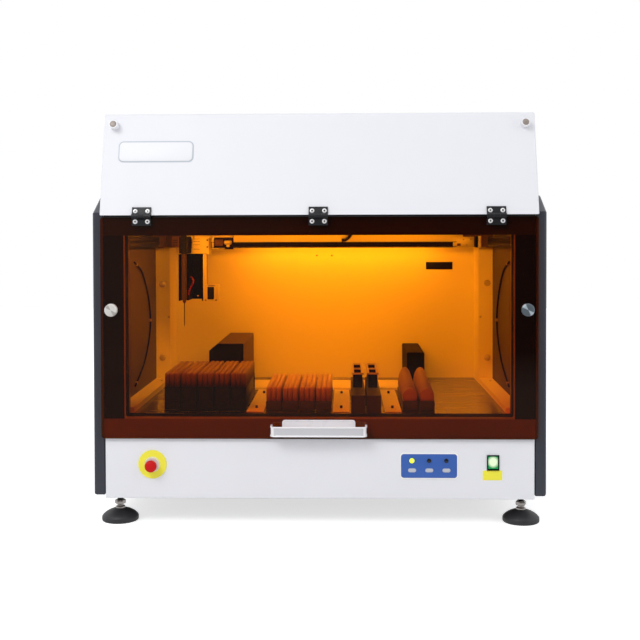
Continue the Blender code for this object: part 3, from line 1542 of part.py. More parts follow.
def level_sensor():
    """A strip down the housing's side that carries the small sensor with its slot."""
    x, d, z = housing_limits()
    left = x[1] + SEAT
    strip = left + SENSOR_STRIP
    right = strip + SENSOR_WIDTH
    outline = [
        (left, z[0]),
        (right, z[0]),
        (right, z[0] + SENSOR_HEIGHT),
        (strip, z[0] + SENSOR_HEIGHT),
        (strip, z[1]),
        (left, z[1]),
    ]
    bm = bmesh.new()
    prism(bm, outline, "Y", at(d[0]), at(d[0] + SENSOR_DEPTH))
    body = piece("level_sensor", bm, ALUMINIUM)
    middle = (strip + right) / 2
    centre = z[0] + SENSOR_HEIGHT / 2
    wide, tall = SENSOR_SLOT_WIDTH / 2, SENSOR_SLOT_HEIGHT / 2
    slot = rounded((middle - wide, middle + wide), (centre - tall, centre + tall), wide / 2, 3)
    cutter = bmesh.new()
    prism(cutter, slot, "Y", at(d[0] - OVERRUN), at(d[0] + SENSOR_DEPTH / 2))
    shape_with(body, "cut_sensor_slot", cutter, "DIFFERENCE")


def main():
    """Builds the whole processor."""
    clear_scene()
    chassis()
    levelling_feet()
    front_panel()
    front_frame()
    for side, word in SIDES:
        side_cover(f"side_cover_{word}", side)
    hood()
    rear_panel()
    mains_inlet()
    door_panel()
    door_handle()
    door_caps()
    hinges()
    emergency_stop()
    indicators()
    power_rocker()
    chamber_walls()
    chamber_corners()
    deck()
    chamber_lamp()
    side_tubes()
    sample_racks()
    reagent_racks()
    bottle_racks()
    troughs()
    rear_modules()
    gantry_rails()
    gantry_beam()
    drive_belt()
    carriage()
    probe_housing()
    probe()
    level_sensor()


main()
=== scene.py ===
"""Looks of the enzyme immunoassay processor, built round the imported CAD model."""

import math

import bmesh
import bpy
from mathutils import Matrix, Vector


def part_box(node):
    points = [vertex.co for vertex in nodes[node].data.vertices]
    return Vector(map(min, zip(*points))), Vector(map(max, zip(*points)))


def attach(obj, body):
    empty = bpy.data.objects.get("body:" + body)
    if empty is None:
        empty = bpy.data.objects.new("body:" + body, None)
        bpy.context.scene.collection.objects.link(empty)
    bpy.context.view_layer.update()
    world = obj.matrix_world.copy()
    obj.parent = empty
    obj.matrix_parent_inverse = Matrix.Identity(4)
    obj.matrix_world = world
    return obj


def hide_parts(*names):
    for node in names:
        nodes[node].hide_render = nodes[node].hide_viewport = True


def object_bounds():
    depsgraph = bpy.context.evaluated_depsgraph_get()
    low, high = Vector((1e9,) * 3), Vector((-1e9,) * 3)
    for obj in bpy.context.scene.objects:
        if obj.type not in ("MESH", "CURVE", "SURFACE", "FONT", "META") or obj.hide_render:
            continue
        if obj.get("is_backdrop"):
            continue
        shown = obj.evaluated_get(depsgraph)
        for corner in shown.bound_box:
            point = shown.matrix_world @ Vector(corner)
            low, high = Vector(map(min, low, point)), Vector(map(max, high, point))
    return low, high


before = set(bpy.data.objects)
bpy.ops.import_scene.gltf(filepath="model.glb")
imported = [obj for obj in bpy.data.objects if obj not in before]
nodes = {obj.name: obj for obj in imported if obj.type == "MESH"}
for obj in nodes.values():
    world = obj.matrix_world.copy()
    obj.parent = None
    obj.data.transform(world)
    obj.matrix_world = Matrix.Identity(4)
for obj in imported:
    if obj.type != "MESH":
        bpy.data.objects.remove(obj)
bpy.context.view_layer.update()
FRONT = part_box("front_panel")[0].y
X, Y, Z = range(3)
TO_FRONT, TO_BACK, DOWN = (0, -1, 0), (0, 1, 0), (0, 0, -1)
SIDES = ((-1, "left"), (1, "right"))

# Shader trees


def tone(colour):
    """A colour from three screen values of 0 to 255, or from four linear values, which stay."""
    if len(colour) == 4:
        return colour
    shares = [value / 255 for value in colour]
    return (*(v / 12.92 if v <= 0.04045 else ((v + 0.055) / 1.055) ** 2.4 for v in shares), 1.0)


def shade(colour, share):
    """A colour made darker or lighter by a share."""
    return (*(min(max(v * share, 0), 1) for v in colour[:3]), 1.0)


def cleared(data):
    """The empty shader tree of a material or a world."""
    data.use_nodes = True
    data.node_tree.nodes.clear()
    return data.node_tree


def shown(tree, shader, kind="ShaderNodeOutputMaterial"):
    """Ends a tree with its output."""
    tree.links.new(shader, tree.nodes.new(kind).inputs[0])


def feed(tree, value, socket):
    """Gives a socket a value or links an output to it."""
    if isinstance(value, bpy.types.NodeSocket):
        tree.links.new(value, socket)
    else:
        socket.default_value = value


def added(tree, kind, *values, **settings):
    """A new shader node with its settings, and its first inputs fed in their order."""
    made = tree.nodes.new(f"ShaderNode{kind}")
    for key, value in settings.items():
        setattr(made, key, value)
    for spot, value in enumerate(values):
        feed(tree, value, made.inputs[spot])
    return made


def object_place(tree):
    """Places in the object's own space."""
    return added(tree, "TexCoord").outputs["Object"]


def noise(tree, where, scale, detail=3.0):
    """A cloudy value."""
    return added(tree, "TexNoise", where, 0.0, scale, detail).outputs[0]


def mixed(tree, fac, first, second, kind="RGBA"):
    """first where fac is 0, second where it is 1; each is a value or an output."""
    made = added(tree, "Mix", fac, data_type=kind)
    low, high, result = {"RGBA": (6, 7, 2), "FLOAT": (2, 3, 0)}[kind]
    feed(tree, first, made.inputs[low])
    feed(tree, second, made.inputs[high])
    return made.outputs[result]


def joined(tree, fac, first, second):
    """The first shader where fac is 0, the second where it is 1."""
    return added(tree, "MixShader", fac, first, second).outputs[0]


def sums(tree, kind, *values):
    """One step of arithmetic on values or outputs."""
    return added(tree, "Math", *values, operation=kind).outputs[0]


def ways(tree, kind, *values):
    """One step of vector arithmetic: its node, which has a vector and a value."""
    return added(tree, "VectorMath", *values, operation=kind)


def graded(tree, value, first, last, start=0.0, end=1.0):
    """Goes from start to end while the value goes from first to last."""
    return added(tree, "MapRange", value, first, last, start, end).outputs[0]


def axis_of(tree, place, axis):
    """One coordinate of a place."""
    return added(tree, "SeparateXYZ", place).outputs[axis]


# Masks: each makes a function of a tree and a place


def over(axis, level):
    """What lies beyond a level along an axis."""
    return lambda tree, place: sums(tree, "GREATER_THAN", axis_of(tree, place, axis), level)


def beyond(level):
    """What is further from the middle than a level, left or right."""

    def outside(tree, place):
        return sums(tree, "GREATER_THAN", sums(tree, "ABSOLUTE", axis_of(tree, place, X)), level)

    return outside


def within(low, high):
    """What lies inside a box."""

    def inside(tree, place):
        found = 1.0
        for axis in (X, Y, Z):
            value = axis_of(tree, place, axis)
            for kind, level in (("GREATER_THAN", low[axis]), ("LESS_THAN", high[axis])):
                found = sums(tree, "MULTIPLY", found, sums(tree, kind, value, level))
        return found

    return inside


def ramp(axis, low, high):
    """Grows from 0 to 1 between two levels of an axis."""
    return lambda tree, place: graded(tree, axis_of(tree, place, axis), low, high)


def from_axis(tree, place, centre):
    """The way to a place, square to the Y axis through a centre."""
    moved = ways(tree, "SUBTRACT", place, centre).outputs[0]
    return ways(tree, "MULTIPLY", moved, (1, 0, 1)).outputs[0]


def turned_marks(centre):
    """Texture places that depend only on the distance from a turning axis."""

    def rings(tree, place):
        far = ways(tree, "LENGTH", from_axis(tree, place, centre)).outputs["Value"]
        return added(tree, "CombineXYZ", far).outputs[0]

    return rings


# where the painted highlight fans begin, and where they are full
FAN_EDGE, FAN_FULL = -0.3, -0.46


def painted_highlight_fans(centre):
    """Two fans of painted highlight on a turned round face."""

    def shine(tree, place):
        way = ways(tree, "NORMALIZE", from_axis(tree, place, centre)).outputs[0]
        turn = sums(tree, "MULTIPLY", axis_of(tree, way, X), axis_of(tree, way, Z))
        return graded(tree, turn, FAN_EDGE, FAN_FULL)

    return shine


BOTTLES, BOTTLE_MARGIN, BOTTLE_MIDDLE_SHARE = 13, 0.003, 0.48
BOTTLE_FRONT, BOTTLE_BODY_SHARE = 0.0012, 0.36


def bottle_pitch(low, high):
    """How far apart a rack's bottles stand."""
    return (high.y - low.y - 2 * BOTTLE_MARGIN) / BOTTLES


def bottle_gap_shade(tree, place):
    """Painted shade in the gaps between the bottles."""
    low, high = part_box("bottle_rack_1")
    way = sums(tree, "SUBTRACT", axis_of(tree, place, Y), low.y + BOTTLE_MARGIN)
    behind = sums(tree, "GREATER_THAN", way, BOTTLE_FRONT)
    way = sums(tree, "FRACT", sums(tree, "DIVIDE", way, bottle_pitch(low, high)))
    away = sums(tree, "ABSOLUTE", sums(tree, "SUBTRACT", way, BOTTLE_MIDDLE_SHARE))
    return sums(tree, "MULTIPLY", sums(tree, "GREATER_THAN", away, BOTTLE_BODY_SHARE), behind)


# The opening's half width and levels, its pale lips, and how far painted light lightens the frame below and
# above it
OPEN_HALF, OPEN_LOW, OPEN_HIGH = 0.406, 0.23, 0.612
LIP, FRONT_LIP, SILL_LIP, BACK_LIP = 0.0026, 0.0035, 0.012, 0.033
BEFORE_LIP, BEHIND_LIP = 0.1, 0.2
SILL_LIGHT_SHARE, HEADER_LIGHT_SHARE = 0.46, 0.06


def pale_lips_and_painted_light(tree, place):
    """The pale edges of the opening: its front lip all round, its sill and the back lip of its sides; below
    the opening and above it, painted light lightens the frame a little.
    """
    wide, start = OPEN_HALF + LIP, FRONT - BEFORE_LIP
    found = 0.0
    for low, high in (
        ((-wide, start, OPEN_LOW - LIP), (wide, FRONT + FRONT_LIP, OPEN_HIGH)),
        ((-wide, start, OPEN_LOW - LIP), (wide, FRONT + SILL_LIP, OPEN_LOW + LIP)),
        ((-wide, FRONT + BACK_LIP, OPEN_LOW + LIP), (wide, FRONT + BEHIND_LIP, OPEN_HIGH + LIP)),
    ):
        found = sums(tree, "MAXIMUM", found, within(low, high)(tree, place))
    height = axis_of(tree, place, Z)
    sill = sums(tree, "MULTIPLY", sums(tree, "LESS_THAN", height, OPEN_LOW - LIP), SILL_LIGHT_SHARE)
    header = sums(tree, "MULTIPLY", sums(tree, "GREATER_THAN", height, OPEN_HIGH), HEADER_LIGHT_SHARE)
    return sums(tree, "MAXIMUM", found, sums(tree, "MAXIMUM", sill, header))


# Materials

# the finishes made here, by name: the CAD model brings materials with some of the same names
finishes = {}
SMOOTHEST, RELIEF = 0.02, 0.0004
WEAR_FINER, WEAR_DETAIL, GRAIN_DETAIL = 5, 4.0, 2.0


def surface(
    name, colour, rough, mottle=0.03, mottle_scale=9, grain=0.04, grain_scale=700, shine=0.5,
    metallic=0.0, spread=0.04, stretch=(1, 1, 1), other=None, mask=None, where=None, **sockets,
):
    """A finish whose colour, roughness and relief vary over the surface. Where mask gives 1,
    the other finish (colour, rough, metallic) shows."""
    made = finishes[name] = bpy.data.materials.new(name)
    tree = cleared(made)
    shader = added(tree, "BsdfPrincipled")
    place = object_place(tree)
    if where:
        fitted = where(tree, place)
    else:
        fitted = added(tree, "Mapping", place, (0, 0, 0), (0, 0, 0), stretch).outputs[0]
    broad = noise(tree, fitted, mottle_scale)
    worn = noise(tree, fitted, mottle_scale * WEAR_FINER, WEAR_DETAIL)

    def mottled(colour):
        return mixed(tree, broad, shade(tone(colour), 1 - mottle), shade(tone(colour), 1 + mottle))

    base = mottled(colour)
    dull = mixed(tree, worn, max(rough - spread, SMOOTHEST), min(rough + spread, 1), "FLOAT")
    if other:
        tint, second_rough, second_metallic = other
        chosen = mask(tree, place)
        base = mixed(tree, chosen, base, mottled(tint))
        low = max(second_rough - spread, SMOOTHEST)
        dull = mixed(tree, chosen, dull, mixed(tree, worn, low, second_rough + spread, "FLOAT"), "FLOAT")
        if second_metallic != metallic:
            metallic = mixed(tree, chosen, metallic, second_metallic, "FLOAT")
    relief = added(tree, "Bump", grain, RELIEF)
    fine = noise(tree, fitted, grain_scale, GRAIN_DETAIL)
    tree.links.new(fine, relief.inputs["Height"])
    fed = {"Base Color": base, "Roughness": dull, "Metallic": metallic, "Specular IOR Level": shine}
    fed |= {"Normal": relief.outputs[0]} | {key.replace("_", " "): value for key, value in sockets.items()}
    for key, value in fed.items():
        feed(tree, value, shader.inputs[key])
    shown(tree, shader.outputs[0])
    return made


def dress(finish, *names):
    """Gives CAD nodes a finish."""
    for name in names:
        held = nodes[name].data.materials
        for spot in range(len(held)):
            held[spot] = finishes[finish]
        if not held:
            held.append(finishes[finish])


# colour, roughness, mottle and its scale, grain and its scale, shine, metallic; what is left
# off the end of a row is as surface() has it
for name, *values in (
    ("paint_white", (236, 236, 240), 0.45, 0.012, 9, 0.1, 420, 0.25),
    ("paint_posts", (245, 242, 238), 0.5, 0.02, 9, 0.12, 380),
    ("paint_chassis", (84, 82, 82), 0.5, 0.03, 9, 0.1),
    ("paint_dark", (58, 60, 69), 0.38, 0.06, 9, 0.22, 520),
    ("plastic_black", (20, 20, 22), 0.5, 0.08, 9, 0.15, 900, 0.06),
    ("plastic_hinge", (27, 28, 32), 0.45, 0.08, 9, 0.2, 1200),
    ("plastic_white", (240, 239, 242), 0.28, 0.01, 9, 0.05, 600),
    ("rubber", (46, 46, 49), 0.5, 0.15, 40, 0.3, 900),
    ("bright_steel", (0.8, 0.78, 0.76, 1), 0.2, 0.05, 80, 0.1, 700, 0.5, 1.0),
    ("dark_steel", (0.05, 0.045, 0.045, 1), 0.4, 0.1, 80, 0.1, 700, 0.5, 0.6),
    ("stem_steel", (0.42, 0.39, 0.37, 1), 0.2, 0.06, 80, 0.1, 700, 0.5, 1.0),
    ("housing_black", (3, 3, 3), 0.5, 0.1, 9, 0.15, 900, 0.02),
    ("screw_pale", (196, 184, 176), 0.35, 0.04, 90, 0.08),
    ("clip_brown", (150, 120, 110), 0.5, 0.1, 80, 0.1),
    ("ring_white", (238, 236, 236), 0.3, 0.04, 120, 0.06, 700, 0.5, 0.25),
    ("rail_grey", (46, 40, 38), 0.6, 0.06, 9, 0.12, 700, 0.06),
    ("motor_brown", (104, 76, 70), 0.55, 0.1, 30, 0.1, 700, 0.1),
    ("yellow", (250, 240, 66), 0.4, 0.03, 9, 0.06),
    ("red", (206, 20, 22), 0.4, 0.05, 60, 0.06, 700, 0.2),
    ("blue", (54, 98, 180), 0.4, 0.04, 40, 0.06),
    ("blue_rim", (254, 252, 248), 0.34, 0.02, 40, 0.04),
    ("pill_grey", (196, 197, 206), 0.34, 0.03, 90, 0.05),
    ("pill_line", (126, 146, 190), 0.35, 0.03, 90, 0.05),
    ("rack_black", (20, 20, 22), 0.4, 0.1, 30, 0.14, 700, 0.06),
    ("rack_smoke", (27, 23, 22), 0.4, 0.3, 22, 0.06, 700, 0.1),
    ("rack_grey", (66, 66, 72), 0.4, 0.1, 30, 0.1, 700, 0.06),
    ("rim_pale", (186, 168, 164), 0.38, 0.05, 30, 0.06),
    ("hose_red", (128, 16, 15), 0.3, 0.08, 50, 0.05),
    ("belt_black", (22, 19, 18), 0.6, 0.1, 30, 0.3, 700, 0.06),
    ("belt_edge", (92, 70, 62), 0.55, 0.1, 30, 0.3),
    ("plate_black", (20, 20, 22), 0.35, 0.1, 40, 0.06, 700, 0.06),
    ("plate_grey", (196, 200, 208), 0.3, 0.02, 30, 0.04),
    ("plate_white", (240, 240, 243), 0.4, 0.008, 30, 0.03, 700, 0.2),
    ("magnet", (158, 146, 138), 0.36, 0.08, 120, 0.1, 700, 0.5, 0.2),
):
    surface(name, *values)

# The side walls' dark band, the deck's raised parts, the beam's dark ends, the painted shade that darkens
# tubes and vials towards their feet, and where troughs and modules change their colour
WALL_BAND, DECK_RAISED, BEAM_DARK = 0.0045, 0.0055, 0.352
TUBE_SHADE_START, TUBE_SHADE_END, VIAL_SHADE_START = 0.05, 0.001, 0.018
TROUGH_SHOULDER, MODULE_FRONT = 0.0385, 0.001
BRUSHED = {"spread": 0.06, "stretch": (14, 1, 1)}

surface(
    "paint_walls", (228, 226, 222), 0.48, 0.02, 9, 0.12, 380, 0.2,
    other=((94, 82, 78), 0.6, 0.0), mask=beyond(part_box("chamber_walls")[1].x - WALL_BAND),
)
# the pale lips are the frame's own colour; the lighter sill and header are painted light
surface(
    "frame_paint", (12, 11, 11), 0.7, 0.06, 9, 0.15, shine=0.05,
    other=((140, 134, 132), 0.5, 0.0), mask=pale_lips_and_painted_light,
)
surface(
    "steel", (0.33, 0.32, 0.31, 1), 0.26, 0.06, 2, 0.06, 260, metallic=1.0, spread=0.06, stretch=(1, 6, 1),
    other=((232, 229, 225), 0.45, 0.0), mask=over(Z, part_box("deck_plate")[1].z - DECK_RAISED),
)
surface("aluminium", (0.66, 0.65, 0.64, 1), 0.45, 0.04, 3, 0.1, 240, metallic=0.5, **BRUSHED)
surface(
    "beam_finish", (0.62, 0.61, 0.6, 1), 0.5, 0.05, 3, 0.1, 240, metallic=0.3, **BRUSHED,
    other=((70, 42, 36), 0.6, 0.0), mask=beyond(BEAM_DARK),
)
surface(
    "bar_brown", (72, 54, 48), 0.5, 0.06, 20, 0.1, shine=0.1,
    other=((14, 13, 13), 0.6, 0.0), mask=over(Z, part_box("probe_housing")[1].z),
)
surface("lamp_off", (26, 30, 36), 0.16, 0.08, 120, 0.03, Coat_Weight=0.5)
for name, colour, mottle, shining in (
    ("lamp_on", (206, 220, 20), 0.05, (225, 240, 20)),
    ("lamp_core", (250, 250, 110), 0.03, (255, 250, 110)),
):
    surface(name, colour, 0.2, mottle, 120, 0.03, Emission_Color=tone(shining), Emission_Strength=0.7)
surface(
    "lamp_glow", (0.95, 0.95, 0.92, 1), 0.5, 0.02, 9, 0.02,
    Emission_Color=(1.0, 0.98, 0.92, 1), Emission_Strength=1.0,
)
low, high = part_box("sample_rack_1")
# painted shade: the tubes are darkest at their feet, where they shade each other, and pale pink at their
# tops
surface(
    "tube_pink", (38, 31, 30), 0.42, 0.2, 45, 0.06,
    other=((150, 127, 127), 0.42, 0.0), mask=ramp(Z, low.z + TUBE_SHADE_START, high.z + TUBE_SHADE_END),
)
low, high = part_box("reagent_rack_1")
# painted shade: the vials are darker towards their feet, between one another
surface(
    "vial_pink", (112, 92, 88), 0.42, 0.16, 45, 0.06,
    other=((196, 174, 168), 0.42, 0.0), mask=ramp(Z, low.z + VIAL_SHADE_START, high.z),
)
# painted shade darkens the gaps between the bottles
surface(
    "bottle_pink", (164, 138, 134), 0.45, 0.08, 45, 0.08, shine=0.2,
    other=((74, 58, 55), 0.5, 0.0), mask=bottle_gap_shade,
)
for name, side in (("reader_module", (100, 83, 77)), ("incubator_module", (35, 28, 26))):
    mask = over(Y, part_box(name)[0].y + MODULE_FRONT)
    surface(f"{name}_finish", (10, 9, 9), 0.5, 0.1, 12, 0.16, shine=0.08, other=(side, 0.6, 0.0), mask=mask)
    dress(f"{name}_finish", name)
for n in (1, 2):
    mask = over(Z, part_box(f"reagent_trough_{n}")[0].z + TROUGH_SHOULDER)
    other = ((18, 18, 19), 0.4, 0.0)
    surface(f"trough_{n}_finish", (66, 66, 72), 0.4, 0.1, 30, 0.1, shine=0.08, other=other, mask=mask)
    dress(f"trough_{n}_finish", f"reagent_trough_{n}")

AMBER, AMBER_IOR, AMBER_SHINE = (0.94, 0.27, 0.0035, 1), 1.49, 0.4
AMBER_CLOUD, AMBER_CLOUD_SCALE = 0.015, 3.0
AMBER_WIPED, AMBER_WIPED_SCALE = 0.02, 14.0


def amber_material():
    """Clear amber acrylic. Shadow rays pass it tinted, so that lamps light what is behind it."""
    finishes["amber_acrylic"] = bpy.data.materials.new("amber_acrylic")
    tree = cleared(finishes["amber_acrylic"])
    shader = added(tree, "BsdfPrincipled")
    place = object_place(tree)
    cloud = noise(tree, place, AMBER_CLOUD_SCALE)
    wiped = noise(tree, place, AMBER_WIPED_SCALE, WEAR_DETAIL)
    for key, value in {
        "Base Color": mixed(tree, cloud, shade(AMBER, 1 - AMBER_CLOUD), shade(AMBER, 1 + AMBER_CLOUD)),
        "Roughness": mixed(tree, wiped, 0.0, AMBER_WIPED, "FLOAT"),
        "IOR": AMBER_IOR,
        "Transmission Weight": 1.0,
        "Specular IOR Level": AMBER_SHINE,
    }.items():
        feed(tree, value, shader.inputs[key])
    clear = added(tree, "BsdfTransparent", (*(math.sqrt(v) for v in AMBER[:3]), 1))
    shadow = added(tree, "LightPath").outputs["Is Shadow Ray"]
    shown(tree, joined(tree, shadow, shader.outputs[0], clear.outputs[0]))


def shader_of(made):
    """A material's main shader."""
    return next(n for n in made.node_tree.nodes if n.type == "BSDF_PRINCIPLED")


GLOW_RISE, GLOW_RADIUS, GLOW_CORE, GLOW_POWER = 0.002, 0.013, 2.4, 0.85


def rocker_material():
    """A green rocker lit from behind, palest at its middle."""
    low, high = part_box("power_rocker")
    middle = (low + high) / 2
    made = surface("rocker_green", (20, 120, 60), 0.25, 0.04, 60, 0.04)
    tree = made.node_tree
    shader = shader_of(made)
    away = ways(tree, "DISTANCE", object_place(tree), (middle.x, low.y, middle.z + GLOW_RISE))
    near = sums(tree, "SUBTRACT", 1.0, sums(tree, "DIVIDE", away.outputs["Value"], GLOW_RADIUS))
    near = sums(tree, "MULTIPLY", sums(tree, "MAXIMUM", near, 0.0), GLOW_CORE)
    glow = mixed(tree, sums(tree, "MINIMUM", near, 1.0), tone((0, 120, 62)), tone((252, 255, 226)))
    tree.links.new(glow, shader.inputs["Emission Color"])
    shader.inputs["Emission Strength"].default_value = GLOW_POWER


# Each side's cap in painted light, the left one lit and the right one in shade: its colour, and that of its
# painted highlight fans
CAP_PAINTED_LIGHT_COLOURS = {
    "left": ((0.93, 0.87, 0.82, 1), (0.55, 0.51, 0.48, 1)),
    "right": ((0.13, 0.16, 0.19, 1), (0.58, 0.66, 0.72, 1)),
}


def cap_material(side):
    """Turned steel with rings round the cap's axis, its colour painted lit or shaded by its side, and two
    fans of painted highlight.
    """
    low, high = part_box(f"door_cap_{side}")
    middle = tuple((low + high) / 2)
    colour, shining = CAP_PAINTED_LIGHT_COLOURS[side]
    made = surface(
        f"turned_{side}", colour, 0.34, 0.14, 700, 0.9, 2600, metallic=0.45, spread=0.08,
        other=(shining, 0.34, 0.45), mask=painted_highlight_fans(middle), where=turned_marks(middle), Anisotropic=0.85,
    )
    swirl = added(made.node_tree, "Tangent", direction_type="RADIAL", axis="Y")
    made.node_tree.links.new(swirl.outputs[0], shader_of(made).inputs["Tangent"])


amber_material()
rocker_material()
for _, side in SIDES:
    cap_material(side)
    dress(f"turned_{side}", f"door_cap_{side}")
dress("plastic_hinge", *(name for name in nodes if name.startswith("hinge_")))
for finish, names in {
    "paint_white": "hood front_panel rear_panel",
    "paint_chassis": "chassis",
    "paint_dark": "side_cover_left side_cover_right",
    "frame_paint": "front_frame",
    "amber_acrylic": "door_panel",
    "plastic_white": "door_handle",
    "paint_walls": "chamber_walls",
    "paint_posts": "chamber_corner_left chamber_corner_right",
    "steel": "deck_plate",
    "lamp_glow": "chamber_lamp",
    "beam_finish": "gantry_beam",
    "rail_grey": "gantry_rail_left gantry_rail_right",
    "aluminium": "carriage_block level_sensor",
    "motor_brown": "beam_motor",
    "belt_black": "drive_belt side_tube_left side_tube_right",
    "plastic_black": "mains_inlet rocker_bezel",
    "housing_black": "probe_housing",
    "bar_brown": "probe_bar probe_needle",
    "yellow": "stop_disc",
    "ring_white": "stop_collar",
    "red": "stop_button",
    "rocker_green": "power_rocker",
}.items():
    dress(finish, *names.split())

# Forms: lists of points and faces


def taken(made):
    """The points and faces of a bmesh, which is freed."""
    made.verts.index_update()
    verts = [v.co.copy() for v in made.verts]
    faces = [[v.index for v in f.verts] for f in made.faces]
    made.free()
    return verts, faces


def block(low, high, edge=0.0, steps=2):
    """A box with rounded edges."""
    made = bmesh.new()
    bmesh.ops.create_cube(made, size=1.0)
    for vert in made.verts:
        vert.co = Vector([low[i] + (vert.co[i] + 0.5) * (high[i] - low[i]) for i in range(3)])
    if edge:
        bmesh.ops.bevel(made, geom=made.edges[:], offset=edge, segments=steps, profile=0.5, affect="EDGES")
    return taken(made)


def loft(rings):
    """A closed skin over rings of points, all with as many points."""
    count = len(rings[0])
    verts = [Vector(p) for ring in rings for p in ring]
    faces = []
    for r in range(len(rings) - 1):
        for k in range(count):
            a, b = r * count + k, r * count + (k + 1) % count
            faces.append([a, b, b + count, a + count])
    faces.append(list(range(count))[::-1])
    faces.append(list(range((len(rings) - 1) * count, len(rings) * count)))
    return verts, faces


def circle(centre, side, up, radius, steps, start=0.0):
    """Points round a centre, in the plane of two ways."""
    turns = [start + 2 * math.pi * k / steps for k in range(steps)]
    return [centre + (side * math.cos(turn) + up * math.sin(turn)) * radius for turn in turns]


def lathe(rings, centre, axis=(0, 0, 1), steps=32, start=0.0):
    """A turned form through rings of (radius, way along the axis)."""
    axis = Vector(axis).normalized()
    side = axis.orthogonal().normalized()
    up = axis.cross(side)
    made = []
    for radius, along in rings:
        made.append(circle(Vector(centre) + axis * along, side, up, radius, steps, start))
    return loft(made)


def outline(width, height, radius, steps=5):
    """Points round a rectangle with round corners, about zero."""
    points = []
    for sx, sy, first in ((1, 1, 0), (-1, 1, 90), (-1, -1, 180), (1, -1, 270)):
        x, y = sx * (width / 2 - radius), sy * (height / 2 - radius)
        for k in range(steps + 1):
            turn = math.radians(first + 90 * k / steps)
            points.append((x + radius * math.cos(turn), y + radius * math.sin(turn)))
    return points


LEAST_CORNER, EDGE_START_SHARE = 0.0001, 0.3


def plate(width, height, radius, thick, edge, steps=5):
    """A flat plate with round corners and a softened front edge, lying on z = 0."""
    first = edge * EDGE_START_SHARE
    rings = []
    for shrink, level in ((0, 0), (0, thick - edge), (first, thick - first), (edge, thick)):
        ring = outline(width - 2 * shrink, height - 2 * shrink, max(radius - shrink, LEAST_CORNER), steps)
        rings.append([(x, y, level) for x, y in ring])
    return loft(rings)


def placed(form, place):
    """A form moved to a place."""
    return [place @ v for v in form[0]], form[1]


def facing(point, normal):
    """A place on a surface: z out of it, y as near to up as it goes."""
    out, up = Vector(normal).normalized(), Vector((0, 0, 1))
    high = (up - out * up.dot(out)).normalized()
    turn = Matrix((high.cross(out), high, out)).transposed().to_4x4()
    return Matrix.Translation(Vector(point)) @ turn


def smooth_path(points, steps=6):
    """A curve through the points, with some steps between each two."""
    points = [Vector(p) for p in points]
    ends = [2 * points[0] - points[1], *points, 2 * points[-1] - points[-2]]
    made = []
    for k in range(1, len(ends) - 2):
        a, b, c, d = ends[k - 1 : k + 3]
        for s in range(steps):
            t = s / steps
            square, cube = (2 * a - 5 * b + 4 * c - d) * t * t, (3 * b - a - 3 * c + d) * t**3
            made.append(0.5 * ((2 * b) + (c - a) * t + square + cube))
    made.append(points[-1])
    return made


def pipe(points, radius, steps=12):
    """A round tube along points, with closed ends."""
    side = (points[1] - points[0]).normalized().orthogonal().normalized()
    rings = []
    for k, point in enumerate(points):
        ahead = points[min(k + 1, len(points) - 1)] - points[max(k - 1, 0)]
        ahead.normalize()
        side = (side - ahead * side.dot(ahead)).normalized()
        rings.append(circle(point, side, ahead.cross(side), radius, steps))
    return loft(rings)


# shares of a screw's radius and height
HEAD_SHARES = ((1, 0), (1, 0.35), (0.86, 0.8), (0.6, 1), (0.42, 1))
SOCKET_SHARE, SOCKET_LOW_SHARE, SOCKET_PROUD = 0.42, 0.2, 0.0001


def ring_screw(point, normal, radius, tall, head=0, socket=1):
    """A bright button head with a dark socket, each with the number of its material."""
    hole = radius * SOCKET_SHARE
    profile = [(radius * wide, tall * up) for wide, up in HEAD_SHARES]
    inside = ((hole, tall * SOCKET_LOW_SHARE), (hole, tall + SOCKET_PROUD))
    return [(lathe(profile, point, normal, 24), head), (lathe(inside, point, normal, 6), socket)]


def make(name, parts, materials, body, replaces=(), sharp=35):
    """One piece of the scene from forms, each with the number of its material among the named ones."""
    verts, faces, numbers = [], [], []
    for form, number in parts:
        start = len(verts)
        verts += form[0]
        faces += [[start + i for i in f] for f in form[1]]
        numbers += [number] * len(form[1])
    mesh = bpy.data.meshes.new(name)
    mesh.from_pydata(verts, [], faces)
    mesh.polygons.foreach_set("material_index", numbers)
    for finish in materials.split():
        mesh.materials.append(finishes[finish])
    fixed = bmesh.new()
    fixed.from_mesh(mesh)
    bmesh.ops.recalc_face_normals(fixed, faces=fixed.faces)
    fixed.to_mesh(mesh)
    fixed.free()
    mesh.polygons.foreach_set("use_smooth", [True] * len(mesh.polygons))
    mesh.set_sharp_from_angle(angle=math.radians(sharp))
    piece = bpy.data.objects.new(name, mesh)
    bpy.context.scene.collection.objects.link(piece)
    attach(piece, body)
    if replaces:
        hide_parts(*replaces)


# Where a line of sight starts: before and behind the object, inside the chamber and over the deck
BEFORE, BEHIND = FRONT - 0.5, 0.6
INSIDE, DEEP_INSIDE, OVER_DECK = FRONT + 0.4, FRONT + 0.5, 0.3


def hit(name, start, way):
    """Where a line meets a CAD node, and the way that its surface faces there."""
    found, point, normal, _ = nodes[name].ray_cast(Vector(start), Vector(way))
    if not found:
        raise ValueError(f"nothing of {name} lies there")
    return point, normal


def seen(name, x, z, y=BEFORE):
    """The same, looking from the front."""
    return hit(name, (x, y, z), TO_BACK)


bpy.context.view_layer.update()

# Camera, placed and turned to meet the photograph

PICTURE, FOCUS_PIXELS, SENSOR = 640, 1026.5, 36.0
CAMERA_X, CAMERA_AWAY, CAMERA_Z, SHIFT = 0.0568, 2.1423, 0.6143, -0.1004
PITCH, YAW, ROLL = 0.0211, -0.025, -0.0025

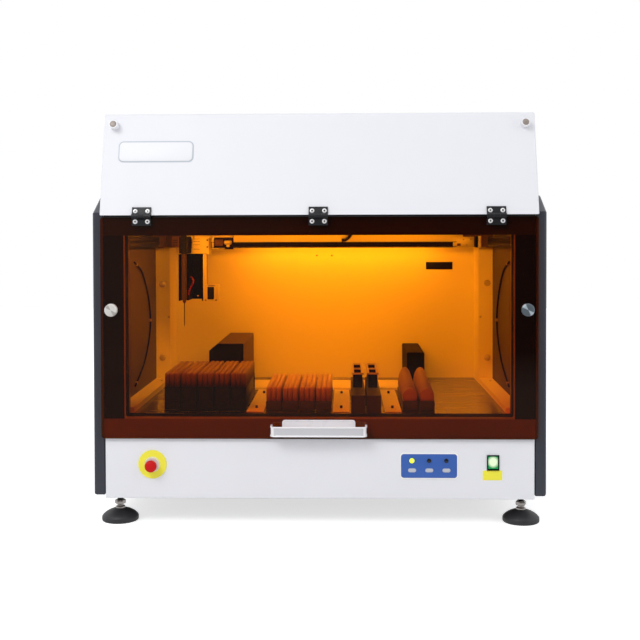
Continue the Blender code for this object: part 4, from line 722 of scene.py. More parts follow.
camera_data = bpy.data.cameras.new("camera")
camera_data.sensor_width = SENSOR
camera_data.lens = SENSOR * FOCUS_PIXELS / PICTURE
camera_data.shift_y = SHIFT
camera_data.clip_start = 0.05
camera = bpy.data.objects.new("camera", camera_data)
bpy.context.scene.collection.objects.link(camera)
ahead = Vector((math.sin(YAW) * math.cos(PITCH), math.cos(YAW) * math.cos(PITCH), -math.sin(PITCH)))
level = Vector((math.cos(YAW), -math.sin(YAW), 0))
above = level.cross(ahead)
right = level * math.cos(ROLL) + above * math.sin(ROLL)
above = above * math.cos(ROLL) - level * math.sin(ROLL)
turn = Matrix((right, above, -ahead)).transposed().to_4x4()
camera.matrix_world = Matrix.Translation((CAMERA_X, FRONT - CAMERA_AWAY, CAMERA_Z)) @ turn
bpy.context.scene.camera = camera

# Floor, room and world

FLOOR_HALF, FLOOR_WHITE, FLOOR_GLOW = 6, 0.86, 0.64
ROOM_AWAY, ROOM_HALF, ROOM_TALL = 3.4, 5, 4.5
LEFT_LIGHT, RIGHT_LIGHT, NEAR_LIGHT = 0.17, 0.05, 0.58
# where the fades start and end: to the right, and before the front
ACROSS, ROOM_ACROSS, ALONG, NEAR = (-1.0, 0.1), (-1.4, 0.1), (3.2, 1.9), (0.9, 0.1)
SKY, SKY_POWER = (0.95, 0.97, 1.0, 1), 0.7


def stage_card(name, low, high):
    """A flat card of the stage, upright or lying, and the empty shader tree of its material."""
    flat = next(i for i in range(3) if low[i] == high[i])
    first, second = (i for i in range(3) if i != flat)
    corners = []
    for a, b in ((low, low), (high, low), (high, high), (low, high)):
        corner = list(low)
        corner[first], corner[second] = a[first], b[second]
        corners.append(corner)
    mesh = bpy.data.meshes.new(name)
    mesh.from_pydata(corners, [], [(0, 1, 2, 3)])
    look = bpy.data.materials.new(f"{name}_look")
    mesh.materials.append(look)
    card = bpy.data.objects.new(name, mesh)
    bpy.context.scene.collection.objects.link(card)
    card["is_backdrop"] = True
    return card, cleared(look)


def glow(tree, strength):
    """White light of a strength, which is a value or an output."""
    return added(tree, "Emission", (1, 1, 1, 1), strength).outputs[0]


def faded(tree, axis, *levels):
    """A value that goes from start to end between two places along an axis."""
    return graded(tree, axis_of(tree, object_place(tree), axis), *levels)


def any_ray(tree, *kinds):
    """1 for a ray of one of some kinds."""
    path = added(tree, "LightPath")
    found, *others = (path.outputs[f"Is {kind} Ray"] for kind in kinds)
    for other in others:
        found = sums(tree, "MAXIMUM", found, other)
    return found


# the floor: white to the camera but for the shadow, and dim far in front to reflections
_, tree = stage_card("floor", (-FLOOR_HALF, -FLOOR_HALF, 0), (FLOOR_HALF, FLOOR_HALF, 0))
matt = added(tree, "BsdfDiffuse", (FLOOR_WHITE, FLOOR_WHITE, FLOOR_WHITE, 1)).outputs[0]
lit = added(tree, "AddShader", matt, glow(tree, FLOOR_GLOW)).outputs[0]
across = faded(tree, X, *ACROSS, LEFT_LIGHT, RIGHT_LIGHT)
along = faded(tree, Y, *(FRONT - v for v in ALONG), RIGHT_LIGHT, LEFT_LIGHT)
near = faded(tree, Y, *(FRONT - v for v in NEAR), 0.0, NEAR_LIGHT)
dim = glow(tree, sums(tree, "ADD", sums(tree, "MAXIMUM", across, along), near))
look = joined(tree, any_ray(tree, "Camera"), matt, lit)
shown(tree, joined(tree, any_ray(tree, "Glossy", "Transmission"), look, dim))

# a dim room behind the camera, lighter to the left, which only reflections see
room_y = FRONT - ROOM_AWAY
room, tree = stage_card("room", (-ROOM_HALF, room_y, 0.0), (ROOM_HALF, room_y, ROOM_TALL))
room.visible_camera = False
room.visible_diffuse = False
room.visible_shadow = False
shown(tree, glow(tree, faded(tree, X, *ROOM_ACROSS, LEFT_LIGHT, RIGHT_LIGHT)))

# the world lights the object softly, and is plain white to the camera, in glass and in metal
world = bpy.data.worlds.new("world")
bpy.context.scene.world = world
tree = cleared(world)
sky = added(tree, "Background", SKY, SKY_POWER).outputs[0]
plain = added(tree, "Background", (1, 1, 1, 1), 1.0).outputs[0]
white = any_ray(tree, "Camera", "Glossy", "Transmission")
shown(tree, joined(tree, white, sky, plain), "ShaderNodeOutputWorld")

# Lamps: two soft ones before the object, and a warm pair in the chamber

WARM = (1.0, 0.97, 0.9)


def area(name, place, target, width, tall, power, colour=(1, 1, 1), spread=180):
    """A rectangular lamp that shines from a place to a target."""
    data = bpy.data.lights.new(name, "AREA")
    data.shape = "RECTANGLE"
    data.size = width
    data.size_y = tall
    data.energy = power
    data.color = colour
    data.spread = math.radians(spread)
    lamp = bpy.data.objects.new(name, data)
    bpy.context.scene.collection.objects.link(lamp)
    way = Vector(target) - Vector(place)
    turn = way.to_track_quat("-Z", "Y").to_matrix().to_4x4()
    lamp.matrix_world = Matrix.Translation(Vector(place)) @ turn


area("key", (-1.4, FRONT - 2.3, 2.4), (0, 0, 0.4), 1.6, 1.2, 37.0)
area("fill", (2.4, FRONT - 1.6, 1.5), (0.1, 0, 0.4), 1.6, 1.6, 8.0)
low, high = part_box("chamber_lamp")
place, target = (-0.03, high.y + 0.012, low.z + 0.002), (-0.03, FRONT + 0.6, 0.4)
area("chamber_front", place, target, 0.72, 0.03, 2.45, WARM, 150)
place, target = (0.05, FRONT + 0.515, 0.65), (0.05, FRONT + 0.596, 0.54)
area("chamber_back", place, target, 0.5, 0.02, 0.95, WARM, 140)

# Levelling feet: a pad, and a stem with its neck, thread, lock nut and washer

PAD_FIT_SHARE = 0.999
# share of the pad's radius, and level
PAD = (
    (0.955, 0.0), (0.99, 0.0014), (1.0, 0.004), (0.995, 0.0085), (0.97, 0.0108), (0.9, 0.0138),
    (0.78, 0.0176), (0.62, 0.0211), (0.46, 0.0236), (0.34, 0.025), (0.28, 0.0258), (0.25, 0.025),
)
NECK = (
    (0.008, 0.024), (0.0104, 0.0252), (0.0108, 0.027), (0.0104, 0.0292), (0.0088, 0.0304),
    (0.0064, 0.0314),
    (0.0062, 0.0336), (0.0074, 0.0348),
)
NUT = (
    (0.0094, 0.0), (0.0114, 0.0014), (0.0118, 0.0034), (0.0118, 0.0064), (0.0114, 0.0084),
    (0.0094, 0.0098),
)
WASHER = ((0.0122, 0), (0.013, 0.0005), (0.013, 0.0013), (0.0122, 0.0018))
NUT_LEVEL, WASHER_LEVEL, NUT_TURN = 0.0342, 0.0568, 0.4
THREAD_FOOT, THREAD_TOP = (0.0058, 0.043), 0.005
THREAD_ROOT, THREAD_CREST, THREAD_START, THREAD_PITCH, THREAD_TURNS = 0.0052, 0.0059, 0.0436, 0.00104, 36

for n in range(1, 5):
    name, body = f"levelling_foot_{n}", f"foot_{n}_body"
    low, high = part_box(name)
    middle = Vector(((low.x + high.x) / 2, (low.y + high.y) / 2, 0))
    size = (high.x - low.x) / 2 * PAD_FIT_SHARE
    pad = [(size * share, level) for share, level in PAD]
    make(f"foot_pad_{n}", [(lathe(pad, middle, steps=56), 0)], "rubber", body, (name,), 30)
    thread = [THREAD_FOOT]
    for k in range(THREAD_TURNS):
        level = THREAD_START + k * THREAD_PITCH
        thread += [(THREAD_ROOT, level), (THREAD_CREST, level + THREAD_PITCH / 2)]
    thread.append((THREAD_TOP, high.z))
    parts = [
        (lathe(thread, middle, steps=20), 1),
        (lathe(NECK, middle, steps=36), 0),
        (lathe(NUT, middle + Vector((0, 0, NUT_LEVEL)), steps=6, start=NUT_TURN), 0),
        (lathe(WASHER, middle + Vector((0, 0, WASHER_LEVEL)), steps=36), 0),
    ]
    make(f"foot_stem_{n}", parts, "stem_steel dark_steel", body, (name,))

# Indicator panel: a pale rim, the blue face, three lamps and three windows

PANEL_RIM = 0.0052
# corner radius, thickness and edge
RIM_PLATE, FACE_PLATE = (0.0085, 0.001, 0.0004), (0.006, 0.0015, 0.0003)
LAMP_PITCH, LAMP_RISE, LAMP_SINK, LAMP_ON_RADIUS, LAMP_OFF_RADIUS = 0.0358, 0.0113, 0.0013, 0.0056, 0.0048
LAMP_COLLAR = ((0.001, 0), (0.001, 0.0006), (0, 0.001))
LAMP_FIT, LAMP_SIDE, LAMP_TIP = 0.0002, 0.0016, (0.0006, 0.0031)
# share of the lamp's radius, and level
LAMP_DOME = ((0.8, 0.0026), (0.45, 0.003))
LAMP_CORE, CORE_RISE = ((0.0028, 0.003), (0.0026, 0.0033), (0.0012, 0.0035)), 0.0005
WINDOW_SHIFT, WINDOW_DROP, WINDOW_SINK, WINDOW_STEP = 0.0004, 0.0091, 0.0014, 0.0002
WINDOW_LINE, WINDOW = (0.0176, 0.009, 0.0044, 0.0004, 0.0001), (0.016, 0.0076, 0.0037, 0.0006, 0.0002)

low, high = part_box("indicator_panel")
middle, back = (low + high) / 2, high.y
wide, tall = high.x - low.x, high.z - low.z
face = facing((middle.x, back, middle.z), TO_FRONT)
parts = [
    (placed(plate(wide + PANEL_RIM, tall + PANEL_RIM, *RIM_PLATE), face), 0),
    (placed(plate(wide, tall, *FACE_PLATE), face), 1),
]
for k in range(3):
    x = middle.x + (k - 1) * LAMP_PITCH
    lit = k == 0
    at_lamp = Vector((x, back - LAMP_SINK, middle.z + LAMP_RISE))
    reach = LAMP_ON_RADIUS if lit else LAMP_OFF_RADIUS
    parts.append((lathe([(reach + a, b) for a, b in LAMP_COLLAR], at_lamp, TO_FRONT, 28), 1))
    foot = reach - LAMP_FIT
    dome = [(foot, 0), (foot, LAMP_SIDE), *((reach * wide, up) for wide, up in LAMP_DOME), LAMP_TIP]
    parts.append((lathe(dome, at_lamp, TO_FRONT, 24), 4 if lit else 5))
    if lit:
        parts.append((lathe(LAMP_CORE, at_lamp + Vector((0, 0, CORE_RISE)), TO_FRONT, 20), 6))
    place = facing((x + WINDOW_SHIFT, back - WINDOW_SINK, middle.z - WINDOW_DROP), TO_FRONT)
    parts.append((placed(plate(*WINDOW_LINE), place), 3))
    place.translation.y -= WINDOW_STEP
    parts.append((placed(plate(*WINDOW), place), 2))
panel_looks = "blue_rim blue pill_grey pill_line lamp_on lamp_off lamp_core"
make("indicator_face", parts, panel_looks, "cabinet", ("indicator_panel",))

# The bare label under the rocker and the bare name plate on the hood

LABEL_X, LABEL_Z, LABEL = 0.3624, 0.1094, (0.0405, 0.0203, 0.0012, 0.0005, 0.0001)
NAME_X, NAME_Z = -0.3445, 0.7896
NAME_RIM, NAME_FACE = (0.16, 0.047, 0.011, 0.0009, 0.0003, 8), (0.1545, 0.0415, 0.0085, 0.0013, 0.0003, 8)

place = facing(*seen("front_panel", LABEL_X, LABEL_Z))
make("switch_label", [(placed(plate(*LABEL), place), 0)], "yellow", "cabinet")
place = facing(*seen("hood", NAME_X, NAME_Z))
parts = [(placed(plate(*sizes), place), number) for number, sizes in enumerate((NAME_RIM, NAME_FACE))]
make("name_plate", parts, "plate_grey plate_white", "cabinet")

# Round magnets on the hood, each in its cup

MAGNET_X, MAGNET_Z = 0.4352, 0.8485
CUP = ((0.0093, -0.004), (0.0093, 0.0003), (0.0084, 0.0007), (0.007, 0.0006))
MAGNET = ((0.0074, 0), (0.0074, 0.0004), (0.0064, 0.001), (0.001, 0.0011))

parts = []
for side, _ in SIDES:
    point, normal = seen("hood", side * MAGNET_X, MAGNET_Z)
    parts += [(lathe(CUP, point, normal, 32), 1), (lathe(MAGNET, point, normal, 32), 0)]
make("hood_magnets", parts, "magnet plastic_white", "cabinet")

# The head of the emergency stop: radius, and distance behind its face

STOP_NECK = 0.0055
STOP_HEAD = (
    (STOP_NECK, 0.0108), (0.0108, 0.0104), (0.0121, 0.0092), (0.0125, 0.007), (0.0123, 0.0036),
    (0.0114, 0.0016),
    (0.0104, 0.0009), (0.0099, 0.001), (0.0094, 0.0004), (0.005, 0.0001), (0.0006, 0),
)

low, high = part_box("stop_button")
at_stop = ((low.x + high.x) / 2, high.y, (low.z + high.z) / 2)
reach = high.y - low.y
head = [(STOP_NECK, 0)] + [(radius, reach - behind) for radius, behind in STOP_HEAD]
parts = [(lathe(head, at_stop, TO_FRONT, 56), 0)]
make("stop_head", parts, "red", "stop", ("stop_button",), 50)

# Hinge screws

HINGE_SCREW, HINGE_SCREW_X, HINGE_SCREW_INSET = (0.0048, 0.0012), 0.01285, 0.0085

for leaf, body in (("hood", "cabinet"), ("door", "door")):
    parts = []
    for side in ("left", "middle", "right"):
        name = f"hinge_{leaf}_leaf_{side}"
        low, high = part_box(name)
        z = low.z + HINGE_SCREW_INSET if leaf == "door" else high.z - HINGE_SCREW_INSET
        for way in (-HINGE_SCREW_X, HINGE_SCREW_X):
            parts += ring_screw(*seen(name, (low.x + high.x) / 2 + way, z), *HINGE_SCREW)
    make(f"hinge_screws_{leaf}", parts, "ring_white dark_steel", body)

# Racks on the deck. Their slabs: inset in X and Y, from and to a height, edge, material

RACK_BASE, RACK_SHELF, INTO = 0.0178, 0.0468, 0.001
SAMPLE_SLABS = (
    (0, 0, 0, RACK_BASE, 0.0012, 0),
    (0, 0, RACK_SHELF, RACK_SHELF + 0.0022, 0.0006, 0),
    (0.003, 0.0026, RACK_BASE - 0.002, RACK_SHELF + INTO, 0.0008, 1),
)
REAGENT_SLABS = (
    (0, 0, 0, RACK_BASE, 0.0014, 0), (0.001, 0.001, RACK_BASE - INTO, RACK_BASE + 0.0012, 0.0004, 0),
)
BOTTLE_BASE = 0.0185
BOTTLE_SLABS = ((0, 0, 0, BOTTLE_BASE, 0.0016, 0),)
POST_INSET, POST_WIDE, POST_DEEP, POST_EDGE = 0.0006, 0.0024, 0.0034, 0.0004
TUBE_COLUMNS, TUBE_ROWS, TUBE_SIDES, TUBE_RADIUS = 3, 20, 14, 0.00545
TUBE_MARGIN_X, TUBE_MARGIN_Y = 0.0004, 0.002
TUBE_FOOT_SHARE, DOME_TALL_SHARE = 0.94, 0.62
# share of the radius, and share of the dome's height below its top
DOME_SHARES = ((1, 1), (0.93, 0.6), (0.72, 0.22), (0.36, 0.02), (0.1, 0))


def slabs(low, high, rows):
    """The flat parts of a rack."""
    made = []
    for x, y, first, last, edge, number in rows:
        form = block((low.x + x, low.y + y, low.z + first), (high.x - x, high.y - y, low.z + last), edge)
        made.append((form, number))
    return made


def tube_rows(low, high, bottom):
    """Round-topped tubes in columns over a rack's length, from a level to the rack's top."""
    pitch_x = (high.x - low.x - 2 * TUBE_MARGIN_X) / TUBE_COLUMNS
    pitch_y = (high.y - low.y - 2 * TUBE_MARGIN_Y) / TUBE_ROWS
    dome = TUBE_RADIUS * DOME_TALL_SHARE
    rings = [(TUBE_RADIUS * TUBE_FOOT_SHARE, bottom), (TUBE_RADIUS, bottom + INTO)]
    rings += [(TUBE_RADIUS * wide, high.z - dome * down) for wide, down in DOME_SHARES]
    made = []
    for column in range(TUBE_COLUMNS):
        x = low.x + TUBE_MARGIN_X + pitch_x * (column + 0.5)
        for row in range(TUBE_ROWS):
            y = low.y + TUBE_MARGIN_Y + pitch_y * (row + 0.5)
            made.append((lathe(rings, (x, y, 0), steps=TUBE_SIDES), 0))
    return made


for n in range(1, 6):
    name, body = f"sample_rack_{n}", f"sample_rack_{n}_body"
    low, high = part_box(name)
    parts = slabs(low, high, SAMPLE_SLABS)
    for x in (low.x + POST_INSET, high.x - POST_INSET - POST_WIDE):
        for y in (low.y + POST_INSET, high.y - POST_INSET - POST_DEEP):
            start = (x, y, low.z + RACK_BASE - INTO)
            end = (x + POST_WIDE, y + POST_DEEP, low.z + RACK_SHELF + INTO)
            parts.append((block(start, end, POST_EDGE), 0))
    make(f"{name}_frame", parts, "rack_black rack_smoke", body, (name,))
    tubes = tube_rows(low, high, low.z + RACK_SHELF + INTO)
    make(f"{name}_tubes", tubes, "tube_pink", body, (name,), 60)

for n in range(1, 5):
    name, body = f"reagent_rack_{n}", f"reagent_rack_{n}_body"
    low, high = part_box(name)
    make(f"{name}_base", slabs(low, high, REAGENT_SLABS), "rack_grey", body, (name,))
    vials = tube_rows(low, high, low.z + RACK_BASE - INTO)
    make(f"{name}_vials", vials, "vial_pink", body, (name,), 60)

# Bottles: the left side of the front view over the base, the arch over the waist, and the
# share of that view that each slice has, with its place as a share of the pitch

BOTTLE_SIDE = ((-0.0138, -0.0005), (-0.0152, 0.003), (-0.016, 0.007))
BOTTLE_WAIST, BOTTLE_HALF, LOWEST_BOTTLE, ARCH_STEPS = 0.011, 0.0162, 0.048, 18
SLICE_SHARES = (
    (0.74, -0.48), (0.9, -0.42), (0.98, -0.26), (1.0, -0.1), (0.98, 0.22), (0.9, 0.38), (0.74, 0.48),
)


def bottle(x, y, base, top, pitch):
    """A flat bottle with a long round top."""
    waist, middle = base + BOTTLE_WAIST, (base + top) / 2
    side = [(a, base + b) for a, b in BOTTLE_SIDE]
    view = list(side)
    for s in range(ARCH_STEPS + 1):
        turn = math.pi * s / ARCH_STEPS
        view.append((-BOTTLE_HALF * math.cos(turn), waist + (top - waist) * math.sin(turn)))
    view += [(-a, b) for a, b in reversed(side)]
    rings = []
    for shrink, way in SLICE_SHARES:
        rings.append([(x + a * shrink, y + way * pitch, middle + (b - middle) * shrink) for a, b in view])
    return loft(rings)


for n in range(1, 3):
    name, body = f"bottle_rack_{n}", f"bottle_rack_{n}_body"
    low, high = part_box(name)
    make(f"{name}_base", slabs(low, high, BOTTLE_SLABS), "rack_grey", body, (name,))
    pitch = bottle_pitch(low, high)
    parts = []
    for k in range(BOTTLES):
        top = low.z + LOWEST_BOTTLE + (high.z - low.z - LOWEST_BOTTLE) * k / (BOTTLES - 1)
        y = low.y + BOTTLE_MARGIN + pitch * (k + BOTTLE_MIDDLE_SHARE)
        parts.append((bottle((low.x + high.x) / 2, y, low.z + BOTTLE_BASE, top, pitch), 0))
    make(f"{name}_bottles", parts, "bottle_pink", body, (name,), 50)

# Pale rims on the tall troughs

RIM_DEPTH, RIM_HALF, RIM_WALL, RIM_END, RIM_BAR = 0.1578, 0.0131, 0.0049, 0.0048, 0.0022
RIM_PROUD, RIM_TALL, RIM_EDGE = 0.0003, 0.0033, 0.0005

for n in range(1, 3):
    low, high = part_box(f"reagent_trough_{n}")
    x, first, last = (low.x + high.x) / 2, FRONT + RIM_DEPTH, high.y
    left, right, middle = x - RIM_HALF, x + RIM_HALF, (first + last) / 2
    parts = []
    for (x1, x2), (y1, y2) in (
        ((left, left + RIM_WALL), (first, last)),
        ((right - RIM_WALL, right), (first, last)),
        ((left, right), (first, first + RIM_END)),
        ((left, right), (last - RIM_END, last)),
        ((left, right), (middle - RIM_BAR, middle + RIM_BAR)),
    ):
        start = (x1 - RIM_PROUD, y1 - RIM_PROUD, high.z - RIM_TALL)
        end = (x2 + RIM_PROUD, y2 + RIM_PROUD, high.z + RIM_PROUD)
        parts.append((block(start, end, RIM_EDGE), 0))
    make(f"trough_rim_{n}", parts, "rim_pale", "cabinet")

# Screws of the deck strips, of the corner posts and ledges, of the rear panel, and the wall's marks

DECK_SCREW = (
    (0.0027, 0), (0.003, 0.0006), (0.003, 0.005), (0.0026, 0.0056), (0.0014, 0.0056), (0.0014, 0.003),
)
DECK_SCREWS_X, DECK_SCREWS_DEPTH = (-0.1395, 0.0465, 0.1585), (0.104, 0.312)
POST_SCREW = (
    (0.0082, 0), (0.0084, 0.0016), (0.0076, 0.0042), (0.0054, 0.0062), (0.0024, 0.0071), (0.0004, 0.0072),
)
SMALL_SCREW = ((0.0026, 0), (0.0029, 0.0006), (0.0027, 0.0018), (0.0014, 0.0023), (0.0004, 0.0024))
# each side's screws: two large and one small on the post, and one small on the ledge
POST_SCREWS = (
    ("left", ((-0.4161, 0.486), (-0.4161, 0.2962)), -0.3995, -0.4102),
    ("right", ((0.419, 0.488), (0.419, 0.297)), 0.4018, 0.4203),
)
SMALL_SCREW_Z, LEDGE_SCREW_Y = 0.4015, 0.085
WALL_HOLE, WALL_HOLE_X, WALL_HOLE_Z = ((0.0024, 0), (0.0024, 0.0005), (0.0012, 0.0006)), 0.02, 0.5571
WALL_PLATE_X, WALL_PLATE_Z, WALL_PLATE = 0.3052, 0.5296, (0.0707, 0.0201, 0.001, 0.0008, 0.0002)
REAR_SCREW, REAR_SCREWS_X, REAR_SCREWS_Z = (0.0034, 0.0016), 0.434, (0.086, 0.36, 0.63)

parts = []
for x in DECK_SCREWS_X:
    for depth in DECK_SCREWS_DEPTH:
        point, normal = hit("deck_plate", (x, FRONT + depth, OVER_DECK), DOWN)
        parts.append((lathe(DECK_SCREW, point, normal, 20), 0))
make("deck_screws", parts, "dark_steel", "cabinet")

large, small, on_ledge = [], [], []
for side, places, small_x, ledge_x in POST_SCREWS:
    name = f"chamber_corner_{side}"
    for x, z in places:
        large.append((lathe(POST_SCREW, *seen(name, x, z, INSIDE), 32), 0))
    small.append((lathe(SMALL_SCREW, *seen(name, small_x, SMALL_SCREW_Z, INSIDE), 20), 0))
    on_ledge.append((lathe(SMALL_SCREW, *hit(name, (ledge_x, LEDGE_SCREW_Y, OVER_DECK), DOWN), 20), 0))
make("post_screws", large + small + on_ledge, "screw_pale", "cabinet")

parts = []
for x in (-WALL_HOLE_X, WALL_HOLE_X):
    parts.append((lathe(WALL_HOLE, *seen("chamber_walls", x, WALL_HOLE_Z, DEEP_INSIDE), 20), 0))
place = facing(*seen("chamber_walls", WALL_PLATE_X, WALL_PLATE_Z, DEEP_INSIDE))
parts.append((placed(plate(*WALL_PLATE), place), 1))
make("wall_marks", parts, "dark_steel plate_black", "cabinet")

parts = []
places = [(x, z) for z in REAR_SCREWS_Z for x in (-REAR_SCREWS_X, REAR_SCREWS_X)]
places += [(0, REAR_SCREWS_Z[0]), (0, REAR_SCREWS_Z[-1])]
for x, z in places:
    parts += ring_screw(*hit("rear_panel", (x, BEHIND, z), TO_FRONT), *REAR_SCREW)
make("rear_screws", parts, "ring_white dark_steel", "cabinet")

# Pins of the mains inlet

PIN_PLACES = ((-0.007, -0.0035), (0, 0.0035), (0.007, -0.0035))
PIN_HALF, PIN_TALL, PIN_ROOT, PIN_REACH, PIN_EDGE = 0.0011, 0.0022, 0.0004, 0.014, 0.0004

low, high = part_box("mains_inlet")
middle = (low + high) / 2
parts = []
for way, rise in PIN_PLACES:
    point, _ = hit("mains_inlet", (middle.x + way, BEHIND, middle.z + rise), TO_FRONT)
    start = point - Vector((PIN_HALF, PIN_ROOT, PIN_TALL))
    parts.append((block(start, point + Vector((PIN_HALF, PIN_REACH, PIN_TALL)), PIN_EDGE), 0))
make("inlet_pins", parts, "bright_steel", "cabinet")

# The tubes on the side walls, with their clips. Places are shares of the chamber's depth and
# height, which are fitted to the box of the node

TUBE_SHARES = (
    (0.379, 0.917), (0.572, 0.845), (0.72, 0.701), (0.8, 0.543), (0.788, 0.399), (0.663, 0.241),
    (0.516, 0.155), (0.379, 0.095),
)
DEEPEST_SHARE = 0.8035
HOSE_X, HOSE_EDGE, HOSE_RADIUS = 0.4302, 0.002, 0.0021
CLIP_HALF, CLIP_EDGE = Vector((0.003, 0.0042, 0.0034)), 0.0016
# the number of a point of the tube, and how far over it its clip lies
CLIPS = ((0, -0.006), (3, -0.02), (7, 0.006))

nearest = min(deep for deep, _ in TUBE_SHARES)
lowest, highest = min(tall for _, tall in TUBE_SHARES), max(tall for _, tall in TUBE_SHARES)
for side, word in SIDES:
    low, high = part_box(f"side_tube_{word}")
    points = []
    for deep, tall in TUBE_SHARES:
        along, up = (deep - nearest) / (DEEPEST_SHARE - nearest), (tall - lowest) / (highest - lowest)
        y = low.y + HOSE_EDGE + along * (high.y - low.y - 2 * HOSE_EDGE)
        z = low.z + HOSE_EDGE + up * (high.z - low.z - 2 * HOSE_EDGE)
        points.append((side * HOSE_X, y, z))
    route = smooth_path(points, 8)
    parts = [(pipe(route, HOSE_RADIUS, 14), 0)]
    for number, rise in CLIPS:
        level = points[number][Z] + rise
        spot = min(route, key=lambda p: abs(p.z - level))
        parts.append((block(spot - CLIP_HALF, spot + CLIP_HALF, CLIP_EDGE), 1))
    name = f"side_tube_run_{word}"
    make(name, parts, "belt_black clip_brown", "cabinet", (f"side_tube_{word}",))

# The arm. Its small boxes: X from and to, Y from and to before or behind a face, Z from and to,
# edge, material


def boxes(rows, x=0.0, y=0.0, z=0.0):
    """Small boxes about a place."""
    made = []
    for (x1, x2), (y1, y2), (z1, z2), edge, number in rows:
        made.append((block((x + x1, y + y1, z + z1), (x + x2, y + y2, z + z2), edge), number))
    return made


GUARD_X, GUARD_GAP, GUARD_THICK, GUARD_EDGE = (-0.33, 0.3265), 0.0006, 0.0012, 0.0003
GUARD_INSET, GUARD_TOP, GUARD_LEDGE, GUARD_DEPTH = 0.0016, 0.0002, 0.0012, 0.0022
CABLE_RADIUS, HOUSING_HOSE_RADIUS = 0.0042, 0.0018
# X, Y from the beam's front, and Z
CABLE = (
    (0.047, -0.003, 0.599), (0.056, -0.0042, 0.5998), (0.064, -0.0044, 0.605),
    (0.069, -0.0044, 0.612),
    (0.0715, -0.002, 0.62), (0.072, 0.006, 0.6245), (0.072, 0.02, 0.6248),
)

beam_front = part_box("gantry_beam")[0].y
low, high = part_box("drive_belt")
face = high.y + GUARD_GAP
rows = (
    (GUARD_X, (0, GUARD_THICK), (low.z + GUARD_INSET, high.z - GUARD_INSET), GUARD_EDGE, 0),
    (GUARD_X, (-GUARD_DEPTH, GUARD_THICK), (low.z - GUARD_LEDGE, low.z - GUARD_TOP), GUARD_EDGE, 1),
)
cable = smooth_path([(x, beam_front + y, z) for x, y, z in CABLE])
parts = boxes(rows, y=face) + [(pipe(cable, CABLE_RADIUS), 0)]
make("belt_guard", parts, "belt_black belt_edge", "gantry")

# the first box lies back, out of the carriage's way
END_BOXES = (
    ((0.3283, 0.336), (-0.0002, 0.0008), (0.5813, 0.6066), 0.0004, 0),
    ((0.335, 0.3788), (-0.008, 0.001), (0.5813, 0.6066), 0.0012, 0),
    ((0.3358, 0.345), (-0.0092, -0.007), (0.5838, 0.59), 0.0008, 1),
    ((0.3825, 0.3888), (-0.004, 0.001), (0.5795, 0.608), 0.0006, 2),
    ((0.3894, 0.401), (-0.009, 0.001), (0.5795, 0.6085), 0.0012, 0),
)
END_SCREW, END_FACE = (0.003, 0.0014), 0.008
END_SCREWS = ((0.36, 0.587), (0.37, 0.6), (0.352, 0.6))
parts = boxes(END_BOXES, y=face)
for x, z in END_SCREWS:
    parts += ring_screw((x, face - END_FACE, z), TO_FRONT, *END_SCREW, 0, 2)
make("beam_end_bracket", parts, "aluminium motor_brown belt_black", "gantry")

MOTOR_SPLIT, MOTOR_SEAM, MOTOR_STEP, MOTOR_EDGE, MOTOR_BODY_EDGE = 0.0175, 0.0004, 0.015, 0.0012, 0.0025
FIN_LEVELS, FIN_INSET, FIN_PROUD, FIN_SIZE, FIN_EDGE = (0.02, 0.026, 0.032), 0.003, 0.0005, 0.002, 0.0004
low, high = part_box("beam_motor")
split = low.x + MOTOR_SPLIT
parts = [
    (block((low.x, low.y, low.z + MOTOR_STEP), (split, high.y, high.z), MOTOR_EDGE), 0),
    (block((split + MOTOR_SEAM, low.y, low.z), high, MOTOR_BODY_EDGE), 1),
]
for level in FIN_LEVELS:
    start = (low.x + FIN_INSET, low.y - FIN_PROUD, low.z + level)
    end = (split - FIN_INSET, low.y + FIN_SIZE, low.z + level + FIN_SIZE)
    parts.append((block(start, end, FIN_EDGE), 1))
make("motor_body", parts, "motor_brown rail_grey", "gantry", ("beam_motor",))

# the carriage's ridges and screws, and its bracket with a motor end to the right of it
RIDGE_X, RIDGE_Y, RIDGE_TALL, RIDGE_EDGE = (0.002, 0.02), (-0.0003, 0.001), 0.0009, 0.0002
RIDGE_LEVELS, BLOCK_SCREW_LEVELS = (0.5772, 0.588, 0.5965, 0.6025), (0.583, 0.6)
BLOCK_SCREW, BLOCK_SCREW_INSET = (0.0021, 0.0008), 0.0035
BRACKET_GAP, BRACKET_DEPTH = 0.0004, 0.004
low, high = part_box("carriage_block")
x, y = high.x + BRACKET_GAP, high.y - BRACKET_DEPTH
BRACKET_BOXES = (
    ((x, -0.2262), (-0.001, 0.001), (0.5762, 0.6125), 0.0006, 2),
    ((x + 0.0006, -0.227), (-0.004, 0), (0.606, 0.612), 0.0014, 0),
    ((x + 0.0006, x + 0.0062), (-0.004, 0), (0.5768, 0.612), 0.0014, 0),
    ((x + 0.0006, -0.248), (-0.003, 0), (0.5768, 0.58), 0.001, 0),
    ((x + 0.008, -0.252), (-0.006, 0), (0.585, 0.601), 0.003, 1),
)
BRACKET_EYE, BRACKET_EYE_EDGE = ((-0.25, -0.008, 0.588), (-0.23, 0, 0.599)), 0.004
BRACKET_TAIL = (((-0.244, -0.236), (-0.006, 0), (0.582, 0.589), 0.002, 0),)
parts = boxes([(RIDGE_X, RIDGE_Y, (z, z + RIDGE_TALL), RIDGE_EDGE, 2) for z in RIDGE_LEVELS], low.x, low.y)
for z in BLOCK_SCREW_LEVELS:
    parts += ring_screw((high.x - BLOCK_SCREW_INSET, low.y, z), TO_FRONT, *BLOCK_SCREW, 2, 2)
parts += boxes(BRACKET_BOXES, y=y)
start, end = (Vector(corner) + Vector((0, y, 0)) for corner in BRACKET_EYE)
parts.append((block(start, end, BRACKET_EYE_EDGE, 3), 0))
parts += boxes(BRACKET_TAIL, y=y)
make("carriage_bracket", parts, "aluminium motor_brown belt_black", "carriage")

